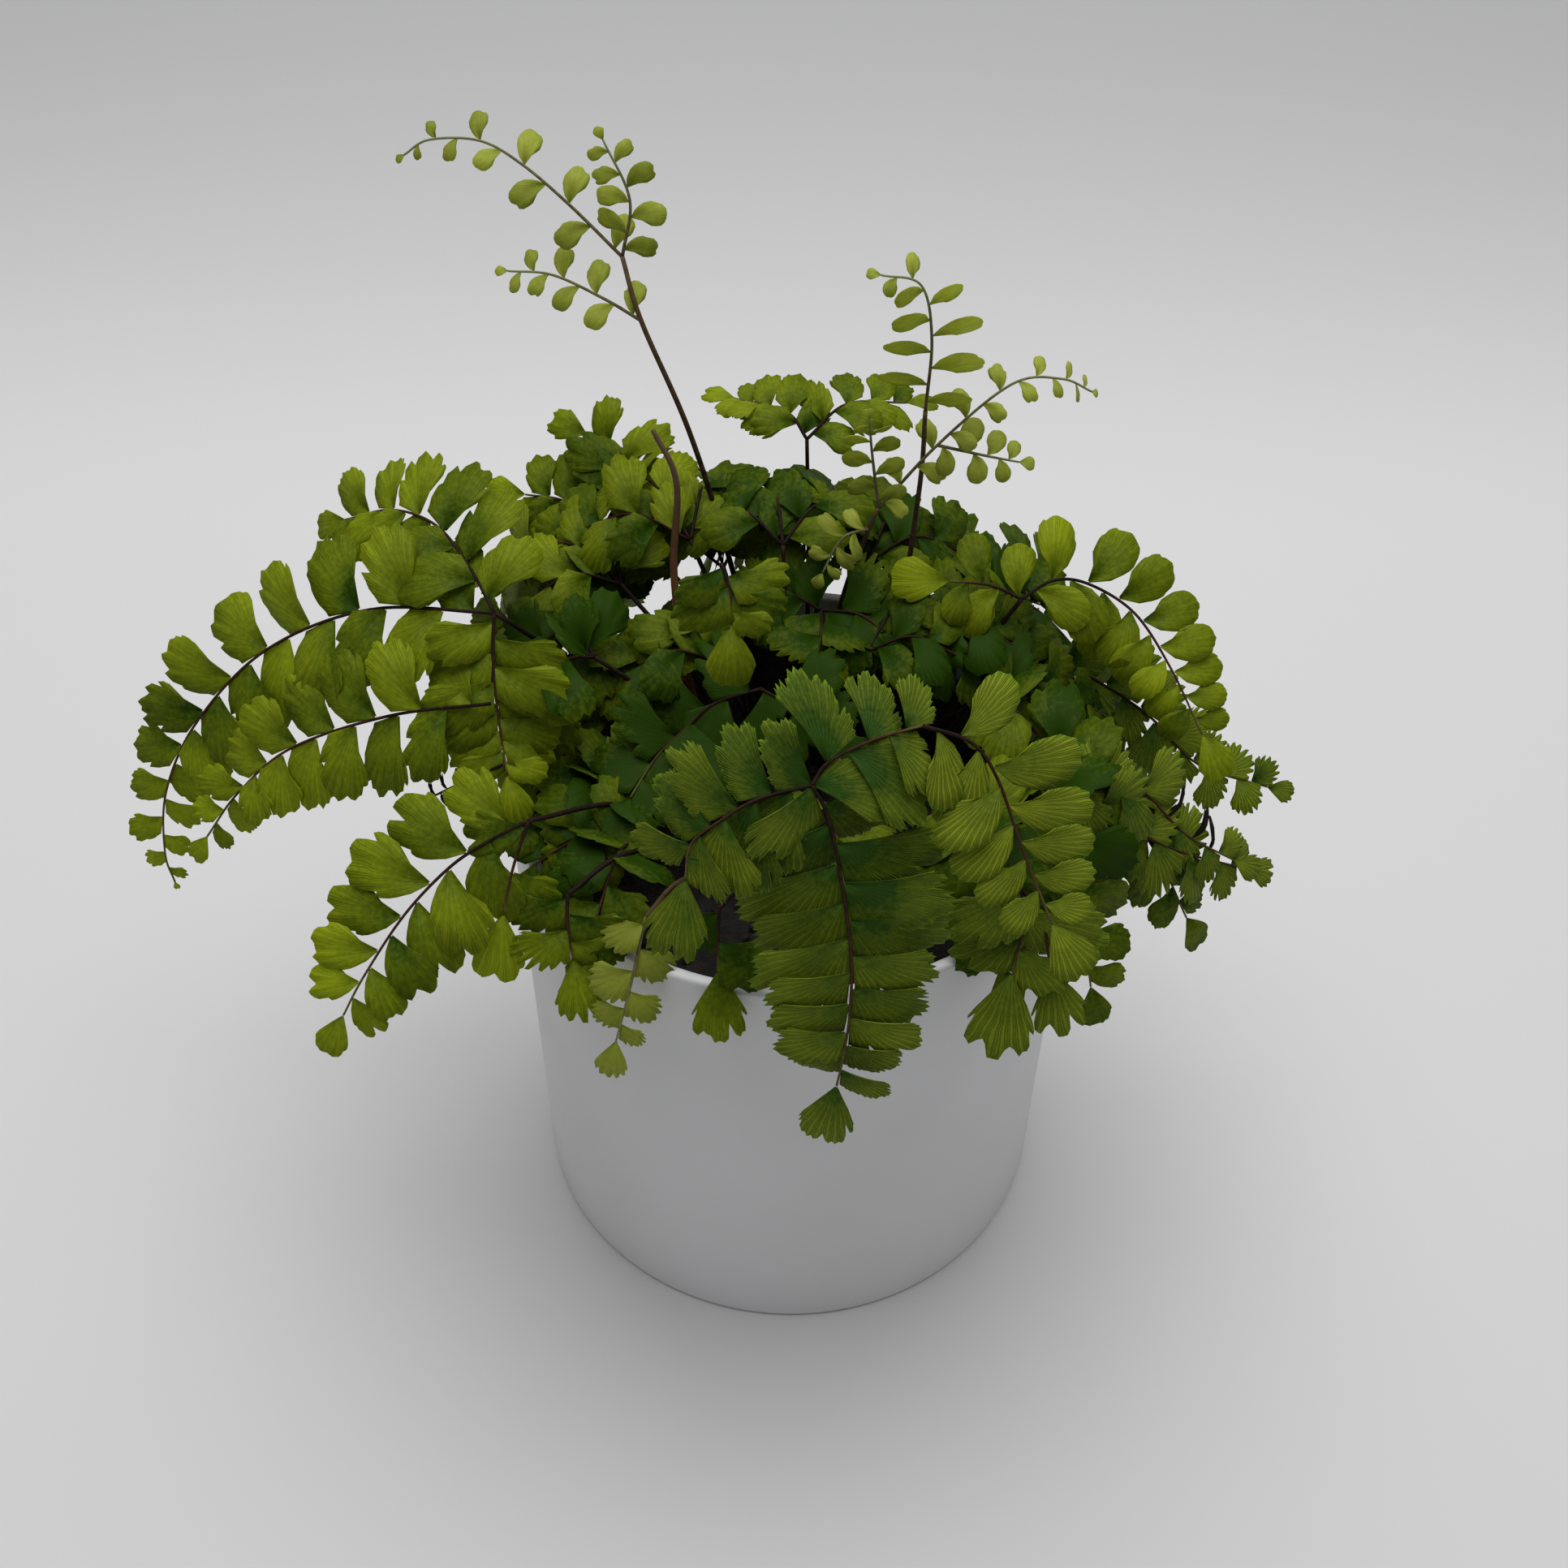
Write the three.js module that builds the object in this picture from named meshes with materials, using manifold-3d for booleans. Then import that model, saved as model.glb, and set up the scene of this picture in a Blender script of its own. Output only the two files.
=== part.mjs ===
// A potted maidenhair-type fern: a straight white cylinder pot filled with dark soil, out of which
// grow forked fronds on wiry stalks and one bare young stalk that has not unfurled.
// Millimetres, +Z up, the front of the plant towards -Y, the middle of the pot's base at the origin.
import * as THREE from "three";
import { mergeVertices } from "three/addons/utils/BufferGeometryUtils.js";
import Module from "manifold-3d";

const wasm = await Module();
wasm.setup();

// ---- driving dimensions -------------------------------------------------------------------------
const POT_RADIUS = 65;
const POT_HEIGHT = 129;
const WALL = 3; // side wall of the pot
const FLOOR = 5; // bottom of the pot
const FOOT_RADIUS = 1.6; // rounding of the lower outside edge
const RIM_RADIUS = 1; // rounding of the rim's edges
const ARC_STEPS = 3;
const POT_SIDES = 40;

const SOIL_TOP = 118;
const SOIL_DIP = 1.5; // how much lower the soil lies at the wall
const GAP = 0.3; // clearance between neighbouring solids

const STALK_RADIUS = 0.6;
const STALK_SIDES = 4;
const STALK_STEPS_PER_SPAN = 2;
const CROZIER_RADIUS = 0.9;
const BLADE_THICKNESS = 0.8;
// The side of a blade that takes the light: fronds at the front turn further towards the viewer.
const SHAPED_TILT = new THREE.Vector3(0, -0.65, 0.76);
const ARCHED_TILT = new THREE.Vector3(0, -0.35, 0.94);
const LOBE_WIDTH = 0.95; // half width of a blade at a leaflet's tip, as a share of its leaflet
const NOTCH_WIDTH = 0.62; // and between two leaflets
const NECK_WIDTH = 0.25; // and where the blade leaves the stalk

const TONE = { mature: 0x35612a, mid: 0x5b8a2b, young: 0x87ab3c };

// ---- the plant ----------------------------------------------------------------------------------
// A stalk starts in the soil at its first [x, y]. A pinna is one side branch of a frond: the route of
// its midrib, how many pairs of leaflets it carries, how long the longest is, and the end leaflet.
const pinna = (route, pairs, leaflet, end) => ({ route, pairs, leaflet, end });
const frond = (name, tone, stalk, pinnae, tilt = SHAPED_TILT) =>
  ({ name: `frond_${name}`, tone, stalk, pinnae, tilt });

const SHAPED_FRONDS = [
  frond("front", "mature", [[0, -12], [1, -34, 152], [3, -61, 186]], [
    pinna([[3, -61, 186], [6, -64, 181], [9, -71, 170], [11, -79, 159], [11, -84, 151],
      [10, -88, 143]], 7, 20, 17),
    pinna([[3, -61, 186], [6, -58, 189], [14, -55, 192], [23, -53, 194], [32, -54, 191],
      [37, -58, 186], [42, -66, 176], [48, -75, 165]], 8, 17, 10),
    pinna([[3, -61, 186], [-7, -63, 184], [-14, -66, 181], [-19, -68, 177], [-20, -72, 172]],
      4, 16, 16),
  ]),
  frond("tall_left", "young", [[-4, 20], [-17, 38, 163], [-25, 42, 192], [-35, 49, 215],
    [-39, 56, 226]], [
    pinna([[-39, 56, 226], [-50, 61, 235], [-60, 65, 242], [-69, 69, 245], [-80, 71, 244],
      [-86, 72, 240]], 6, 8, 3),
    pinna([[-39, 56, 226], [-37, 58, 238], [-42, 60, 250]], 4, 7.5, 3),
    pinna([[-35, 49, 215], [-43, 51, 219], [-54, 55, 222], [-64, 58, 221]], 5, 7.5, 3),
  ]),
  frond("tall_right", "young", [[16, 16], [23, 28, 153], [26, 35, 184], [26, 35, 203]], [
    pinna([[26, 35, 203], [26, 32, 222], [23, 31, 235], [15, 33, 236]], 5, 11, 3),
  ]),
  frond("young_right", "young", [[4, 14], [9, 25, 155], [15, 29, 176], [17, 30, 181]], [
    pinna([[17, 30, 181], [29, 34, 195], [44, 38, 208], [55, 42, 207], [63, 48, 200]], 7, 6, 2.5),
    pinna([[17, 30, 181], [15, 32, 194], [14, 30, 204]], 4, 7, 3),
    pinna([[29, 34, 195], [39, 32, 194], [47, 34, 191]], 3, 7, 4),
    pinna([[15, 29, 176], [9, 24, 177], [5, 22, 169]], 3, 7, 4),
  ]),
  frond("left", "mid", [[-14, 2], [-40, 10, 142], [-64, -1, 175]], [
    pinna([[-64, -1, 175], [-91, 3, 172], [-115, 2, 161], [-132, -4, 145], [-141, -10, 129],
      [-143, -16, 115], [-142, -18, 107]], 9, 19, 5),
    pinna([[-64, -1, 175], [-70, 8, 180], [-78, 18, 183], [-89, 26, 181], [-101, 30, 175]],
      5, 17, 9),
    pinna([[-64, -1, 175], [-64, -8, 168], [-63, -15, 159], [-61, -23, 149]], 5, 16, 11),
    pinna([[-64, -16, 163], [-86, -15, 158], [-108, -16, 149], [-121, -19, 138],
      [-129, -23, 128]], 7, 17, 9),
  ]),
  frond("right", "mid", [[24, 6], [39, 16, 148], [49, 18, 166]], [
    pinna([[49, 18, 166], [56, 21, 169], [64, 21, 168], [74, 16, 164], [82, 7, 156],
      [89, -3, 146]], 7, 15, 12),
    pinna([[49, 18, 166], [42, 20, 168], [33, 20, 169]], 2, 13, 13),
  ]),
  frond("low_left", "mid", [[-12, -8], [-36, -24, 142], [-54, -41, 154]], [
    pinna([[-54, -41, 154], [-62, -44, 151], [-70, -48, 147], [-79, -55, 140], [-87, -64, 131],
      [-91, -69, 125]], 6, 16, 8),
    pinna([[-54, -41, 154], [-57, -48, 147], [-59, -53, 139]], 1, 14, 15),
  ]),
  frond("centre", "mid", [[-6, -4], [-12, 2, 152], [-16, -2, 190]], [
    pinna([[-16, -2, 190], [-14, -6, 186], [-14, -10, 181]], 2, 14, 17),
  ]),
  frond("right_low", "mature", [[22, -2], [40, 15, 142], [52, 20, 149]], [
    pinna([[52, 20, 149], [64, 17, 146], [80, 13, 137], [93, 8, 126], [110, 7, 120]], 7, 13, 7),
  ]),
  frond("front_right", "mature", [[16, -8], [40, -22, 142], [56, -26, 149]], [
    pinna([[56, -26, 149], [68, -25, 141], [83, -24, 131], [101, -19, 120]], 5, 13, 9),
    pinna([[56, -26, 149], [72, -20, 146], [85, -21, 133], [97, -21, 125]], 5, 12, 8),
  ]),
  frond("rim_right", "mature", [[10, -16], [34, -38, 144], [45, -53, 151]], [
    pinna([[45, -53, 151], [46, -58, 144], [44, -64, 137]], 2, 17, 18),
    pinna([[45, -53, 151], [50, -57, 144], [52, -62, 136]], 1, 15, 15),
  ]),
  frond("rim_torn", "young", [[-6, -20], [-22, -44, 141], [-30, -53, 139]], [
    pinna([[-30, -53, 139], [-33, -63, 128], [-36, -68, 117]], 3, 9, 9),
  ]),
  frond("rim_left", "mid", [[-14, -14], [-34, -38, 142], [-46, -50, 142]], [
    pinna([[-46, -50, 142], [-46, -54, 137], [-45, -58, 131]], 2, 14, 14),
  ]),
  frond("rim_middle", "mid", [[-2, -22], [-10, -44, 140], [-15, -54, 143]], [
    pinna([[-15, -54, 143], [-15, -58, 138], [-15, -62, 133]], 1, 13, 15),
  ]),
  frond("inner", "mature", [[-8, 6], [-8, 4, 142], [-8, -1, 155]], [
    pinna([[-8, -1, 155], [-18, -5, 154], [-24, -11, 152], [-30, -17, 149], [-35, -25, 145]],
      4, 18, 15),
    pinna([[-8, -1, 155], [-2, -6, 155], [6, -10, 150]], 2, 15, 14),
  ]),
  frond("inner_left", "mid", [[-20, 22], [-31, 24, 142], [-36, 20, 156]], [
    pinna([[-36, 20, 156], [-44, 14, 158], [-52, 6, 155], [-57, -3, 149]], 4, 15, 12),
    pinna([[-36, 20, 156], [-34, 12, 157], [-34, 3, 153]], 3, 14, 13),
  ]),
  frond("inner_back", "mid", [[2, 12], [4, 18, 144], [5, 20, 160]], [
    pinna([[5, 20, 160], [-3, 22, 163], [-12, 20, 162]], 3, 14, 12),
    pinna([[5, 20, 160], [14, 16, 162], [22, 10, 158]], 3, 14, 12),
    pinna([[5, 20, 160], [5, 12, 160], [4, 5, 156]], 2, 13, 13),
  ]),
  frond("back", "mid", [[2, 26], [2, 50, 150], [1, 57, 180]], [
    pinna([[1, 57, 180], [-6, 66, 188], [-18, 74, 191]], 4, 12, 9),
    pinna([[1, 57, 180], [12, 68, 188], [26, 73, 187]], 4, 12, 9),
  ], ARCHED_TILT),
  frond("back_left", "mid", [[-8, 26], [-26, 42, 146], [-45, 45, 164]], [
    pinna([[-45, 45, 164], [-41, 50, 171], [-42, 56, 176], [-50, 60, 178]], 4, 15, 10),
    pinna([[-45, 45, 164], [-55, 48, 168], [-64, 50, 168]], 3, 14, 10),
  ]),
];

// The rest of the clump arches outwards evenly. Bearing in degrees from +X towards +Y, then the reach
// from the pot's axis where the stalk leaves the soil, [reach, height] of the fork and of the tip, how
// many pinnae fan out of the fork, and the leaflet's length.
const arched = (name, bearing, base, fork, tip, pinnae, leaflet) =>
  ({ name, bearing, base, fork, tip, pinnae, leaflet });
const ARCHED_FRONDS = [
  arched("side_left", 178, 12, [44, 161], [70, 146], 3, 13),
  arched("side_left_low", 203, 14, [40, 140], [66, 136], 3, 14),
  arched("back_left_upper", 150, 14, [46, 164], [82, 154], 3, 14),
  arched("back_left_high", 128, 12, [40, 170], [84, 158], 3, 13),
  arched("back_left_low", 112, 20, [48, 152], [94, 130], 3, 13),
  arched("back_middle_high", 98, 12, [28, 172], [62, 164], 3, 13),
  arched("back_middle_low", 84, 18, [50, 150], [98, 126], 3, 13),
  arched("back_right_high", 66, 14, [38, 162], [74, 152], 3, 13),
  arched("back_right_low", 41, 28, [50, 148], [94, 124], 3, 13),
  arched("back_right_inner", 34, 12, [34, 156], [68, 148], 3, 13),
  arched("side_right", 8, 14, [40, 146], [72, 138], 3, 13),
  arched("rim_right_low", -17, 16, [52, 142], [92, 112], 3, 14),
  arched("front_right_low", -40, 14, [44, 142], [74, 128], 2, 14),
  arched("front_inner", -70, 10, [30, 146], [56, 140], 2, 13),
  arched("front_left_low", 222, 16, [46, 138], [72, 132], 2, 14),
  arched("heart_left", 160, 6, [20, 156], [46, 150], 2, 13),
  arched("heart_right", 30, 6, [18, 158], [46, 152], 2, 13),
  arched("rear_drape_left", 142, 22, [58, 144], [101, 112], 3, 13),
  arched("rear_drape_right", 62, 24, [60, 140], [100, 108], 3, 13),
];
const FAN_ANGLE = { 2: 60, 3: 48 }; // degrees between neighbouring pinnae of an arched frond
const OUTER_PINNA_LOSS = 0.12; // the outer pinnae of a fan are shorter by this share
const ARCHED_LOBE_STEP = 1.24; // one lobe of an arched frond stands for two leaflets this far apart

const CROZIER_ROUTE = [[-18, 12], [-25, 18, 140], [-28, 24, 166], [-27, 28, 188], [-32, 33, 198]];

// ---- routes and blades --------------------------------------------------------------------------
const toCurve = (points) =>
  new THREE.CatmullRomCurve3(points.map((p) => new THREE.Vector3(...p)), false, "catmullrom", 0.5);

const rooted = ([base, ...rest]) => [[...base, SOIL_TOP + GAP], ...rest];

function archedFrond({ name, bearing, base, fork, tip, pinnae, leaflet }) {
  const outwards = THREE.MathUtils.degToRad(bearing);
  const place = (angle, reach, height, from = [0, 0]) =>
    [from[0] + reach * Math.cos(angle), from[1] + reach * Math.sin(angle), height];
  const [forkReach, forkHeight] = fork;
  const forkPoint = place(outwards, forkReach, forkHeight);
  const stalk = [
    place(outwards, base, 0).slice(0, 2),
    place(outwards, forkReach * 0.6, SOIL_TOP + 0.62 * (forkHeight - SOIL_TOP)),
    forkPoint,
  ];
  const fan = [];
  for (let i = 0; i < pinnae; i++) {
    const off = i - (pinnae - 1) / 2;
    const angle = outwards + off * THREE.MathUtils.degToRad(FAN_ANGLE[pinnae]);
    const length = (tip[0] - forkReach) * (1 - OUTER_PINNA_LOSS * Math.abs(off));
    const fall = tip[1] - forkHeight;
    const rise = 0.16 * length;
    const route = [
      forkPoint,
      place(angle, 0.35 * length, forkHeight + rise, forkPoint),
      place(angle, 0.72 * length, forkHeight + 0.4 * (rise + fall), forkPoint),
      place(angle, length, forkHeight + fall, forkPoint),
    ];
    const pairs = Math.max(2, Math.round(length / (ARCHED_LOBE_STEP * leaflet)));
    fan.push(pinna(route, pairs, leaflet, 0.6 * leaflet));
  }
  return frond(name, "mid", stalk, fan, ARCHED_TILT);
}

// A leaflet's length at the share f of the way along its pinna.
function leafletLength(f, longest) {
  if (f < 0.25) return longest * (0.85 + 0.6 * f);
  return longest * (1 - 0.55 * ((f - 0.25) / 0.75) ** 1.6);
}

// The stations of a blade: how far along the midrib each is, and its half width there.
function bladeStations({ pairs, leaflet, end }, length) {
  const stations = [];
  const last = 2 * pairs;
  for (let j = 0; j <= last; j++) {
    const f = j / last;
    const share = j === 0 ? NECK_WIDTH : j % 2 ? LOBE_WIDTH : NOTCH_WIDTH;
    const width = j === last ? 0.3 * end : share * leafletLength(f, leaflet);
    stations.push([f * length, width]);
  }
  stations.push([length + 0.6 * end, 0.45 * end], [length + 0.95 * end, 0.15 * end]);
  return stations;
}

// A thin plate bent onto the midrib's route, with one lobe on each side for every pair of leaflets,
// its upper face turned towards tilt. grow makes it fatter on every side, for cutting clearance out
// of its neighbours.
function bladeGeometry(part, tilt, grow = 0) {
  const curve = toCurve(part.route);
  const length = curve.getLength();
  const stations = bladeStations(part, length);
  const steps = stations.length - 1;
  const geometry = new THREE.BoxGeometry(1, 1, 1, steps, 1, 1);
  const position = geometry.attributes.position;
  const point = new THREE.Vector3();
  for (let i = 0; i < position.count; i++) {
    const j = Math.round((position.getX(i) + 0.5) * steps);
    const [along, halfWidth] = stations[j];
    const u = Math.min(along / length, 1);
    const tangent = curve.getTangentAt(u);
    const normal = tilt.clone().addScaledVector(tangent, -tilt.dot(tangent)).normalize();
    const side = normal.clone().cross(tangent);
    const overrun = Math.max(along - length, 0) + (j === steps ? grow : j === 0 ? -grow : 0);
    point.copy(curve.getPointAt(u)).addScaledVector(tangent, overrun);
    point.addScaledVector(side, 2 * position.getY(i) * (halfWidth + grow));
    point.addScaledVector(normal, position.getZ(i) * (BLADE_THICKNESS + 2 * grow));
    position.setXYZ(i, point.x, point.y, point.z);
  }
  return geometry;
}

function stalkGeometry(points, radius) {
  const section = new THREE.Shape();
  for (let i = 0; i < STALK_SIDES; i++) {
    const angle = (2 * Math.PI * i) / STALK_SIDES;
    const corner = [radius * Math.cos(angle), radius * Math.sin(angle)];
    if (i) section.lineTo(...corner);
    else section.moveTo(...corner);
  }
  return new THREE.ExtrudeGeometry(section, {
    steps: STALK_STEPS_PER_SPAN * (points.length - 1),
    bevelEnabled: false,
    extrudePath: toCurve(points),
  });
}

// ---- solids -------------------------------------------------------------------------------------
function solidOf(geometry) {
  geometry.deleteAttribute("normal");
  geometry.deleteAttribute("uv");
  const merged = mergeVertices(geometry, 1e-4);
  return new wasm.Manifold(new wasm.Mesh({
    numProp: 3,
    vertProperties: new Float32Array(merged.attributes.position.array),
    triVerts: new Uint32Array(merged.index.array),
  }));
}

function geometryOf(solid) {
  const mesh = solid.getMesh();
  const geometry = new THREE.BufferGeometry();
  geometry.setAttribute("position", new THREE.BufferAttribute(mesh.vertProperties, 3));
  geometry.setIndex(new THREE.BufferAttribute(mesh.triVerts, 1));
  return geometry;
}

const union = (solids) => solids.reduce((all, solid) => all.add(solid));

function boxesMeet(a, b) {
  const p = a.boundingBox();
  const q = b.boundingBox();
  return [0, 1, 2].every((axis) => p.min[axis] < q.max[axis] && q.min[axis] < p.max[axis]);
}

const cut = (solid, tool) => (boxesMeet(solid, tool) ? solid.subtract(tool) : solid);

// The one piece of a solid that has the vertex nearest to a point.
function pieceAt(solid, [x, y, z]) {
  const pieces = solid.decompose().map((piece) => {
    const { vertProperties: v } = piece.getMesh();
    let nearest = Infinity;
    for (let i = 0; i < v.length; i += 3) {
      nearest = Math.min(nearest, Math.hypot(v[i] - x, v[i + 1] - y, v[i + 2] - z));
    }
    return { piece, nearest };
  });
  return pieces.sort((a, b) => a.nearest - b.nearest)[0].piece;
}

const arc = (x, y, radius, from, to) => {
  const points = [];
  for (let i = 0; i <= ARC_STEPS; i++) {
    const angle = THREE.MathUtils.degToRad(from + ((to - from) * i) / ARC_STEPS);
    points.push(new THREE.Vector2(x + radius * Math.cos(angle), y + radius * Math.sin(angle)));
  }
  return points;
};

// Turned about Z, with the profile's second coordinate as the height.
function turned(profile, sides) {
  return new THREE.LatheGeometry(profile, sides).rotateX(Math.PI / 2);
}

function potGeometry(grow = 0) {
  const outside = POT_RADIUS + grow;
  const inside = POT_RADIUS - WALL - grow;
  const top = POT_HEIGHT + grow;
  return turned([
    new THREE.Vector2(0, -grow),
    ...arc(outside - FOOT_RADIUS, FOOT_RADIUS - grow, FOOT_RADIUS, -90, 0),
    ...arc(outside - RIM_RADIUS, top - RIM_RADIUS, RIM_RADIUS, 0, 90),
    ...arc(inside + RIM_RADIUS, top - RIM_RADIUS, RIM_RADIUS, 90, 180),
    new THREE.Vector2(inside, FLOOR + grow),
    new THREE.Vector2(0, FLOOR + grow),
  ], POT_SIDES);
}

function soilGeometry() {
  const radius = POT_RADIUS - WALL - GAP;
  return turned([
    new THREE.Vector2(0, FLOOR + GAP),
    new THREE.Vector2(radius, FLOOR + GAP),
    new THREE.Vector2(radius, SOIL_TOP - SOIL_DIP),
    new THREE.Vector2(radius - 8, SOIL_TOP - 0.4 * SOIL_DIP),
    new THREE.Vector2(radius / 2, SOIL_TOP),
    new THREE.Vector2(0, SOIL_TOP),
  ], POT_SIDES);
}

// Every frond gives way to the stalks of all the others and to the blades of those before it.
function frondSolids(fronds, obstacles) {
  const parts = fronds.map(({ stalk, pinnae, tilt }) => {
    const points = rooted(stalk);
    return {
      base: points[0],
      stalk: solidOf(stalkGeometry(points, STALK_RADIUS)),
      stalkRoom: solidOf(stalkGeometry(points, STALK_RADIUS + GAP)),
      blade: union(pinnae.map((part) => solidOf(bladeGeometry(part, tilt)))),
      bladeRoom: union(pinnae.map((part) => solidOf(bladeGeometry(part, tilt, GAP)))),
    };
  });
  return parts.map((part, i) => {
    let blade = obstacles.reduce(cut, part.blade);
    parts.forEach((other, j) => {
      if (j !== i) blade = cut(blade, other.stalkRoom);
      if (j < i) blade = cut(blade, other.bladeRoom);
    });
    return pieceAt(part.stalk.add(blade), part.base);
  });
}

// ---- the object ---------------------------------------------------------------------------------
const object = new THREE.Group();

function addMesh(name, geometry, color, roughness) {
  const mesh = new THREE.Mesh(
    geometry, new THREE.MeshStandardMaterial({ color, roughness, metalness: 0 }));
  mesh.name = name;
  object.add(mesh);
}

addMesh("pot", potGeometry(), 0xe4e4e2, 0.6);
addMesh("soil", soilGeometry(), 0x1a130d, 1);
const crozierRoute = rooted(CROZIER_ROUTE);
addMesh("stalk_unfurled", stalkGeometry(crozierRoute, CROZIER_RADIUS), 0x7b4a22, 0.6);

const fronds = [...SHAPED_FRONDS, ...ARCHED_FRONDS.map(archedFrond)];
const obstacles = [
  solidOf(potGeometry(GAP)),
  solidOf(stalkGeometry(crozierRoute, CROZIER_RADIUS + GAP)),
];
frondSolids(fronds, obstacles).forEach((solid, i) => {
  addMesh(fronds[i].name, geometryOf(solid), TONE[fronds[i].tone], 0.55);
});

export default object;
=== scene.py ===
"""Looks of a potted maidenhair-type fern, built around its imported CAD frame.

The plant stands in a plain white cylinder pot. Each frond is a wiry forked stem with its own
leaflets, and replaces the plain solid that stands for it in the frame. Sizes are in millimetres in
the plans below and in metres in every mesh; the front of the plant is towards -Y.
"""

import logging
import math
import random
from dataclasses import dataclass
from enum import Enum
from typing import Iterable, Sequence, TypeVar

import bmesh
import bpy
from mathutils import Matrix, Vector, noise


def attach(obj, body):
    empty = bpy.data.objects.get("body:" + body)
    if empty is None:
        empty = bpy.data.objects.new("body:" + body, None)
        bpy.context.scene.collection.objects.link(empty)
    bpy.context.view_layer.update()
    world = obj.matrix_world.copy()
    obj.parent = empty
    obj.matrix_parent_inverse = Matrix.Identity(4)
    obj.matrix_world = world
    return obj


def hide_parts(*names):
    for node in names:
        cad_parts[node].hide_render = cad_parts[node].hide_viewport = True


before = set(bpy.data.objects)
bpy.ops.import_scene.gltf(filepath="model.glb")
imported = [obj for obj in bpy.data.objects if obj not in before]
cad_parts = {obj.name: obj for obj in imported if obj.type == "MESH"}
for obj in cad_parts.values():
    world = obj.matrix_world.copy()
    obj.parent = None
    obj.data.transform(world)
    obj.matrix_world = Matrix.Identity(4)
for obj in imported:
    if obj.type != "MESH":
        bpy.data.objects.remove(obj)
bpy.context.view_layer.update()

LOG = logging.getLogger("fern")
MM = 0.001
LEAF_UV = "leaf"
TINT = "tint"
AGEING = "ageing"
DEAD_TINT = -4.0

Point = tuple[float, float, float]
Outline = tuple[tuple[float, float], ...]
Colour = tuple[float, float, float]
Place = TypeVar("Place", float, Vector)


# ---- plans of the plant -------------------------------------------------------------------------
class Age(Enum):
    """How old a frond is, which sets its leaflets' shape and colour."""

    MATURE = "mature"
    MID = "mid"
    YOUNG = "young"


# Margins of the leaflets, as (away from the midrib, towards the pinna's tip) in shares of the length,
# starting at the corner of the whole edge and ending next to the midrib.
CRENATE: Outline = ((0.74, -0.07), (0.92, 0.01), (1.02, 0.20), (1.00, 0.44), (0.84, 0.64),
                    (0.57, 0.74), (0.27, 0.73), (0.00, 0.62))
OBLONG: Outline = ((0.72, 0.00), (0.92, 0.07), (1.02, 0.25), (1.02, 0.50), (0.90, 0.70),
                   (0.66, 0.79), (0.34, 0.72), (0.02, 0.48))
JAGGED: Outline = ((0.86, 0.09), (0.97, 0.18), (1.02, 0.36), (0.94, 0.53), (0.72, 0.63),
                   (0.42, 0.62), (0.17, 0.57), (-0.02, 0.46))
ROUNDED: Outline = ((0.50, -0.08), (0.78, -0.05), (0.96, 0.06), (1.02, 0.24), (0.93, 0.43),
                    (0.72, 0.54), (0.42, 0.52), (0.14, 0.30))
WEDGED: Outline = ((0.60, -0.06), (0.84, 0.00), (0.98, 0.18), (0.97, 0.42), (0.82, 0.62),
                   (0.54, 0.66), (0.25, 0.50), (0.08, 0.25))
FANNED: Outline = ((0.34, -0.20), (0.62, -0.36), (0.86, -0.32), (1.00, -0.10), (1.00, 0.18),
                   (0.86, 0.38), (0.60, 0.42), (0.32, 0.26))


@dataclass(frozen=True)
class LeafletForm:
    """Outline and curl of one leaflet, as shares of its length.

    A leaflet is lopsided: it hangs on one corner, its edge towards the stalk is whole, and the
    outer edge and the edge towards the pinna's tip are lobed or toothed. Each ring of faces is
    split into rays. bare is the stretch of midrib before the first leaflet, hollow bends the whole
    edge in, and rise, droop, tuck and wave lift the blade, bend its end down, tip its forward side
    down and ripple it. lean turns it towards the pinna's tip, in degrees.
    """

    outline: Outline = OBLONG
    end_outline: Outline = FANNED
    rays: int = 24
    rings: int = 2
    lobes: int = 5
    lobe_depth: float = 0.13
    end_lobes: int = 4
    end_depth: float = 0.08
    tooth_depth: float = 0.03
    hollow: float = 0.05
    least_width: float = 0.90
    most_width: float = 1.15
    lean: float = 0.0
    bare: float = 0.25
    rise: float = 0.10
    droop: float = 0.15
    tuck: float = 0.05
    wave: float = 0.02


FORMS = {
    Age.MATURE: LeafletForm(JAGGED, rays=36, rings=4, lobes=4, lobe_depth=0.11, end_depth=0.14,
                            tooth_depth=0.05, tuck=0.30, rise=0.12, hollow=0.03,
                            least_width=0.98, most_width=1.2, bare=0.0, lean=-5),
    Age.MID: LeafletForm(),
    Age.YOUNG: LeafletForm(WEDGED, rays=12, least_width=0.7, most_width=0.9, lobes=3,
                           lobe_depth=0.07, end_lobes=3, end_depth=0.07, tooth_depth=0.0, droop=0.10,
                           tuck=0.0),
}
TOOTHED = LeafletForm(CRENATE, rays=27, lobes=9, lobe_depth=0.12, end_lobes=9, end_depth=0.10)
SMOOTH = LeafletForm(ROUNDED, rays=20, tooth_depth=0.0, lobe_depth=0.02, end_depth=0.03,
                     droop=0.12, tuck=0.0)
BROAD = LeafletForm(CRENATE, lobe_depth=0.12, least_width=0.80, tooth_depth=0.015)
WEDGE = LeafletForm(WEDGED, lobes=4, lobe_depth=0.15, least_width=1.0, tooth_depth=0.015)
WITHERED = LeafletForm(WEDGED, rays=10, lobes=3, lobe_depth=0.35, rise=0.4, droop=0.9, tuck=0.6,
                       least_width=0.5, most_width=0.5, bare=2.5)
OVAL = LeafletForm(ROUNDED, lobe_depth=0.04, tooth_depth=0.01, least_width=1.12, most_width=1.2)
LIME = LeafletForm(ROUNDED, rays=32, rings=4, lobes=8, lobe_depth=0.035, end_lobes=8,
                   end_depth=0.04, tooth_depth=0.012, tuck=0.10, lean=6, least_width=0.95)
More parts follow.
